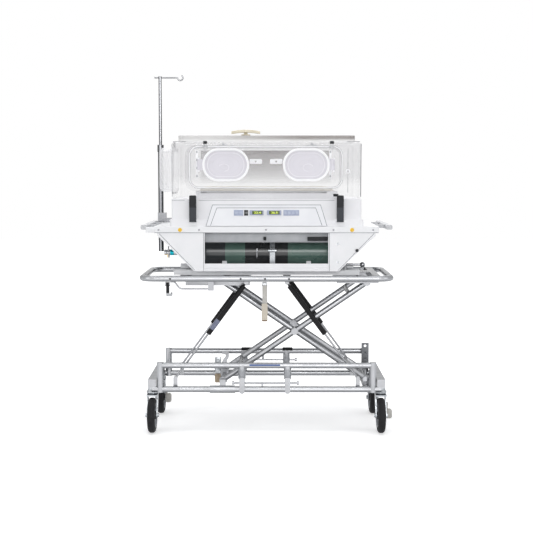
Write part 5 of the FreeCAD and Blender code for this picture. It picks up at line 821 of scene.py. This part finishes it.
def deck_trim():
    """The plugs in the deck rail, the label round a strut and the sleeve on the lever."""
    bm = bmesh.new()
    for x in DECK_PLUGS:
        face = Vector((x, DECK_FRONT + 0.002, DECK_HEIGHT))
        rod(bm, 0.0042, face, face + FRONT * 0.0028, 0.0008)
    piece("deck_plugs", bm, "deck", nylon_black)

    bm = bmesh.new()
    along = (STRUT_FOOT - STRUT_TOP).normalized()
    skin = STRUT_RADIUS + 0.0003
    sheet = ((STRUT_RADIUS, 0), (skin, 0.0002), (skin, LABEL_LONG - 0.0002),
             (STRUT_RADIUS, LABEL_LONG))
    turned(bm, sheet, STRUT_TOP + along * LABEL_START, along)
    piece("strut_label", bm, "left_cylinders", label_grey)

    bm = bmesh.new()
    block(bm, (0.021, 0.010, 0.088), at(*LEVER_SLEEVE), 0.003)
    piece("lever_sleeve", bm, "height_lever", pad_beige)


# tray and gas bay
def tray_trim():
    """The warning discs and screw heads along the front of the tray, and its left end."""
    bm = bmesh.new()
    for x in TRAY_DISCS:
        face = Vector((x, TRAY_FACE, TRAY_MIDDLE))
        rod(bm, 0.0085, face, face + FRONT * 0.0008, 0.0002)
    piece("tray_discs", bm, "deck", disc_yellow)

    bm = bmesh.new()
    head = ((0, 0.0022), (0.002, 0.0019), (0.0035, 0.0009), (0.0038, 0), (0, 0))
    for x in TRAY_SCREWS:
        turned(bm, head, Vector((x, TRAY_FACE, TRAY_MIDDLE)), FRONT, 24)
    piece("tray_screws", bm, "deck", chrome)

    bm = bmesh.new()
    block(bm, (0.036, 0.018, 0.0235), at(-0.489, TRAY_FACE + 0.0092, TRAY_MIDDLE), 0.0025)
    piece("tray_end", bm, "deck", powder)


def cheek_seams():
    """The dark lines of painted shadow under the tray and along the edges of the cheeks."""
    bm = bmesh.new()
    block(bm, (TRAY_SEAM, 0.0010, 0.0018), at(0, TRAY_FACE - 0.0002, TRAY_FOOT), 0.0003)
    for side in (-1, 1):
        upright = [(CHEEK_INNER, z) for z in CHEEK_INNER_Z]
        for ends in (upright, CHEEK_SLANT):
            start, end = (Vector((side * x, CHEEK_FACE - 0.0001, z)) for x, z in ends)
            bead(bm, start, end, 0.0016, 0.0008)
    piece("cheek_seams", bm, "deck", seam_shadow_grey)


def bay_trim():
    """The rail and dark fittings under the tray, and the ribs of the lip."""
    bm = bmesh.new()
    block(bm, (2 * POST_INNER, 0.004, 0.036), at(0, RAIL_Y, 0.841))
    block(bm, (2 * POST_INNER, 0.006, 0.003), at(0, RAIL_Y - 0.001, 0.8215))
    piece("bay_rail", bm, "deck", abs_grey)

    bm = bmesh.new()
    block(bm, (0.085, 0.010, 0.017), at(0.215, RAIL_Y - 0.007, 0.835), 0.0015)
    block(bm, (0.012, 0.010, 0.015), at(-0.007, RAIL_Y - 0.007, 0.836), 0.0015)
    piece("bay_dark_fittings", bm, "deck", nylon_black)

    bm = bmesh.new()
    for z in LIP_RIBS:
        block(bm, (2 * BAY_HALF - 0.004, 0.0012, 0.0022), at(0, LIP_FACE - 0.0004, z), 0.0005)
    piece("lip_ribs", bm, "deck", powder)


def cylinder_handle():
    """The small wire handle on the front gas cylinder, with its two feet."""
    bm = bmesh.new()
    y = GAS_Y - GAS_RADIUS - 0.006
    low, high = (Vector((GAS_HANDLE_X, y, z)) for z in GAS_HANDLE_ENDS)
    rod(bm, 0.0028, low, high)
    for z in GAS_HANDLE_FEET:
        skin = GAS_Y - math.sqrt(GAS_RADIUS ** 2 - (z - GAS_HEIGHT) ** 2)
        rod(bm, 0.002, Vector((GAS_HANDLE_X, skin + 0.001, z)), Vector((GAS_HANDLE_X, y, z)))
    piece("cylinder_handle", bm, "deck", chrome)


def cheek_fittings():
    """The two rivets and the black stop knob on the right cheek."""
    bm = bmesh.new()
    for x, z in CHEEK_RIVETS:
        turned(bm, ((0, 0.0014), (0.003, 0.0012), (0.0046, 0), (0, 0)),
               Vector((x, CHEEK_FACE, z)), FRONT, 24)
    piece("cheek_rivets", bm, "deck", zinc)
    bm = bmesh.new()
    x, z = STOP_KNOB
    knob = ((0, 0.009), (0.005, 0.0085), (0.0065, 0.006), (0.0065, 0.002), (0.004, 0), (0, 0))
    turned(bm, knob, Vector((x, CHEEK_FACE, z)), FRONT, 28)
    piece("stop_knob", bm, "deck", nylon_black)


hook_trim()
base_stripe()
post_collars()
deck_trim()
tray_trim()
cheek_seams()
bay_trim()
cylinder_handle()
cheek_fittings()


# hood, doors and lamp
def lid_catches():
    """The two grey catches that hold the lid over the front door."""
    bm = bmesh.new()
    for left, right in LID_CATCHES:
        middle = (left + right) / 2
        block(bm, (right - left, 0.005, 0.007), at(middle, HOOD_FRONT - 0.0022, 1.2255), 0.0012)
        block(bm, (0.009, 0.004, 0.012), at(middle, HOOD_FRONT - 0.0018, 1.2315), 0.0012)
    piece("lid_catches", bm, "hood", abs_grey)


def hood_edges():
    """The painted dark lines in the bends and cut edges of the hood, for the light trapped there.
    """
    bm = bmesh.new()
    for left, right in HOOD_TOP_BENDS:
        start, end = (Vector((x, -0.2215, 1.2424)) for x in (left, right))
        rod(bm, 0.0011, start, end, 0.0003, 12)
    for radius, foot_x, head_x, y in HOOD_CORNERS:
        start, end = Vector((foot_x, y, HOOD_EDGE_LOW)), Vector((head_x, y, HOOD_EDGE_HIGH))
        rod(bm, radius, start, end, 0.0003, 12)
    start, end = (Vector((GROMMET[0], HOOD_FRONT - 0.0001, z)) for z in SLOT_ENDS)
    bead(bm, start, end, 0.0016, 0.0008)
    piece("hood_edges", bm, "hood", edge_shade_line)


def lid_stop():
    """The black stop beside the front door's lower right corner."""
    bm = bmesh.new()
    x, z = LID_STOP
    block(bm, (0.022, 0.005, 0.011), at(x, HOOD_FRONT - 0.0018, z), 0.0015)
    piece("lid_stop", bm, "hood", nylon_black)


def door_bead():
    """The raised white bead that runs round the front door."""
    bm = bmesh.new()
    *half, corner = DOOR_BEAD
    rounded_frame(bm, DOOR_SPOT, half, corner, 0.0045, 0.0010)
    piece("door_bead", bm, "front_door", rim_white)


def door_groove():
    """The painted shade of the grooves on both sides of the bead, as dark lines."""
    bm = bmesh.new()
    for *half, corner in DOOR_GROOVES:
        rounded_frame(bm, DOOR_SPOT, half, corner, 0.0011, 0.0009)
    piece("door_groove", bm, "front_door", edge_shade_line)


def door_hinges():
    """The hinge strips at both ends of the door with a tube grommet, and their clips."""
    bm = bmesh.new()
    x, z = GROMMET
    ring = ((0.0045, 0), (0.0098, 0), (0.0098, 0.0014), (0.0075, 0.0024), (0.0045, 0.0020),
            (0.0045, 0))
    turned(bm, ring, Vector((x, HOOD_FRONT, z)), FRONT, 32)
    for side in (-1, 1):
        x = DOOR_MIDDLE + side * HINGE_OUT
        block(bm, (0.0100, 0.0016, 0.118), at(x, DOOR_FACE - 0.0006, HINGE_MIDDLE))
    piece("hinge_strips", bm, "front_door", rim_white)

    bm = bmesh.new()
    for side in (-1, 1):
        for z in HINGE_CLIPS:
            x = DOOR_MIDDLE + side * HINGE_OUT
            block(bm, (0.0065, 0.0022, 0.0085), at(x, DOOR_FACE - 0.0014, z))
    piece("hinge_clips", bm, "front_door", abs_grey)


def port_rim(word, x):
    """The thick soft rim of a hand port and the ring inside it."""
    bm = bmesh.new()
    for half_x, half_z, wide, deep in (
            (PORT_HALF + 0.0108, PORT_HIGH + 0.0108, 0.0095, 0.0036),
            (PORT_HALF - 0.010, PORT_HIGH - 0.008, 0.0012, 0.0007)):
        rounded_frame(bm, (x, PORT_FACE, PORT_Z), (half_x, half_z), half_z * 0.98, wide, deep)
    piece("port_rim_" + word, bm, "port_door_" + word, rim_white)


def port_pleat(word, x):
    """The curled pleat of a port's cuff, painted pale as a highlight: a spiral that grows from 12
    to 18 mm.
    """
    bm = bmesh.new()
    side = 1 if x > 0 else -1
    spots = []
    for turn in range(0, PLEAT_TURN, PLEAT_STEP):
        angle = math.radians(turn + PLEAT_STEP)
        out = 0.012 + 0.006 * turn / PLEAT_TURN
        spots.append(Vector((x + side * (0.010 + out * 1.5 * math.cos(angle)),
                             PORT_FACE - 0.0002, PORT_Z - 0.010 + out * math.sin(angle))))
    for start, end in zip(spots, spots[1:]):
        bead(bm, start, end, 0.0012, 0.0006)
    piece("port_pleat_" + word, bm, "port_door_" + word, cuff_highlight)


def rear_reflection_sheet():
    """A grey sheet of painted dark reflection on the inside of the rear wall."""
    bm = bmesh.new()
    block(bm, (0.600, 0.0012, 0.150), at(-0.004, 0.2242, 1.140), 0.0004)
    piece("rear_reflection_sheet", bm, "hood", rear_reflection_finish())


def lamp():
    """The shallow arched head of the lamp, and its round foot."""
    bm = bmesh.new()
    block(bm, LAMP_HEAD, Matrix.Identity(4), 0)
    bmesh.ops.subdivide_edges(bm, edges=bm.edges, cuts=5, use_grid_fill=True)
    for vertex in bm.verts:
        share = vertex.co.x / (LAMP_HEAD[0] / 2)
        vertex.co.y *= 1 - 0.30 * share * share
        vertex.co.z -= 0.0070 * share * share
    bmesh.ops.translate(bm, vec=(LAMP_X, 0, LAMP_FOOT + 0.0188), verts=bm.verts)
    head = piece("lamp_head", bm, "exam_lamp", ivory)
    rounder = head.modifiers.new("round", "SUBSURF")
    rounder.levels = rounder.render_levels = 2
    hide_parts("exam_lamp")

    bm = bmesh.new()
    foot = Vector((LAMP_X, 0, LAMP_FOOT))
    rod(bm, 0.0082, foot, foot + UPWARDS * 0.013, 0.0012)
    rod(bm, 0.020, foot + UPWARDS * 0.0005, foot + UPWARDS * 0.0045, 0.0012)
    piece("lamp_foot", bm, "exam_lamp", ivory)


door_bead()
lid_catches()
door_groove()
hood_edges()
door_hinges()
lid_stop()
for word, x in PORTS.items():
    port_rim(word, x)
    port_pleat(word, x)
rear_reflection_sheet()
lamp()


# floor, backdrop light and lamps
FLOOR_HALF, FLOOR_PATCH_MM = 14, 9300
# how far out the floor is lifted to white, and by how much
LIFT_START, LIFT_END, LIFT_LOW, LIFT_HIGH = 0.7, 2.2, 0.46, 0.85
# each soft lamp's place, aim, size and power
LAMPS = {
    "top_box": ((0, -0.4, 3.4), (0, 0, 0.8), (3.0, 2.2), 44),
    "left_box": ((-3.0, -1.8, 1.7), (0, 0, 0.8), (1.4, 2.2), 16),
    "right_box": ((3.0, -1.8, 1.7), (0, 0, 0.8), (1.4, 2.2), 16),
    "rear_box": ((0, 3.2, 2.2), (0, 0, 0.9), (3.0, 1.2), 16),
    "front_box": ((0.4, -5.4, 2.2), (0, 0, 0.8), (2.6, 1.4), 60),
}


def seen_or_mirrored(tree):
    """1 for what the camera sees, also by way of metal and glass, and 0 for light."""
    rays = add(tree, "LightPath").node.outputs
    mirrored = add(tree, "Math", {0: rays["Is Glossy Ray"], 1: rays["Is Transmission Ray"]},
                   operation="MAXIMUM")
    return add(tree, "Math", {0: rays["Is Camera Ray"], 1: mirrored}, operation="MAXIMUM")


def stage_floor():
    """A pale sweep that turns white in the picture and keeps the trolley's shadow."""
    bm = bmesh.new()
    bmesh.ops.create_grid(bm, x_segments=1, y_segments=1, size=FLOOR_HALF)
    mesh = bpy.data.meshes.new("floor")
    bm.to_mesh(mesh)
    bm.free()
    floor = bpy.data.objects.new("floor", mesh)
    bpy.context.collection.objects.link(floor)
    material = bpy.data.materials.new("pale_floor")
    material.use_nodes = True
    tree = material.node_tree
    tree.nodes.clear()
    place = add(tree, "TexCoord", output="Object")
    mottle = add(tree, "TexNoise", {
        "Vector": place, "Scale": 1 / (FLOOR_PATCH_MM * MM), "Detail": 3})
    tone = add(tree, "Mix", {0: mottle, 6: srgb("E9E9EA"), 7: srgb("EDEDED")}, 2,
               data_type="RGBA")
    reach = add(tree, "VectorMath", {0: place}, "Value", operation="LENGTH")
    rise = add(tree, "MapRange", {"Value": reach, "From Min": LIFT_START, "From Max": LIFT_END,
                                  "To Min": LIFT_LOW, "To Max": LIFT_HIGH})
    strength = add(tree, "Math", {0: seen_or_mirrored(tree), 1: rise}, operation="MULTIPLY")
    lift = add(tree, "Emission", {"Color": srgb("FFFFFF"), "Strength": strength})
    matt = add(tree, "BsdfDiffuse", {"Color": tone})
    add(tree, "OutputMaterial", {"Surface": add(tree, "AddShader", {0: matt, 1: lift})})
    floor.data.materials.append(material)


def studio_world():
    """White behind the object and in what it mirrors, over a plain fill light."""
    world = bpy.data.worlds.new("studio")
    bpy.context.scene.world = world
    world.use_nodes = True
    tree = world.node_tree
    tree.nodes.clear()
    fill = add(tree, "Background", {"Color": srgb("FCFDFF"), "Strength": 0.50})
    white = add(tree, "Background", {"Color": srgb("FFFFFF"), "Strength": 1.0})
    both = add(tree, "MixShader", {0: seen_or_mirrored(tree), 1: fill, 2: white})
    add(tree, "OutputWorld", {"Surface": both})


def softbox(name, place, aim, size, power):
    """A rectangular soft lamp that faces a point."""
    data = bpy.data.lights.new(name, "AREA")
    data.shape = "RECTANGLE"
    data.size, data.size_y = size
    data.energy = power
    lamp_box = bpy.data.objects.new(name, data)
    lamp_box.location = place
    lamp_box.rotation_euler = (Vector(aim) - Vector(place)).to_track_quat("-Z", "Y").to_euler()
    bpy.context.collection.objects.link(lamp_box)


stage_floor()
studio_world()
for name, box in LAMPS.items():
    softbox(name, *box)

bpy.context.scene.view_settings.view_transform = "Standard"
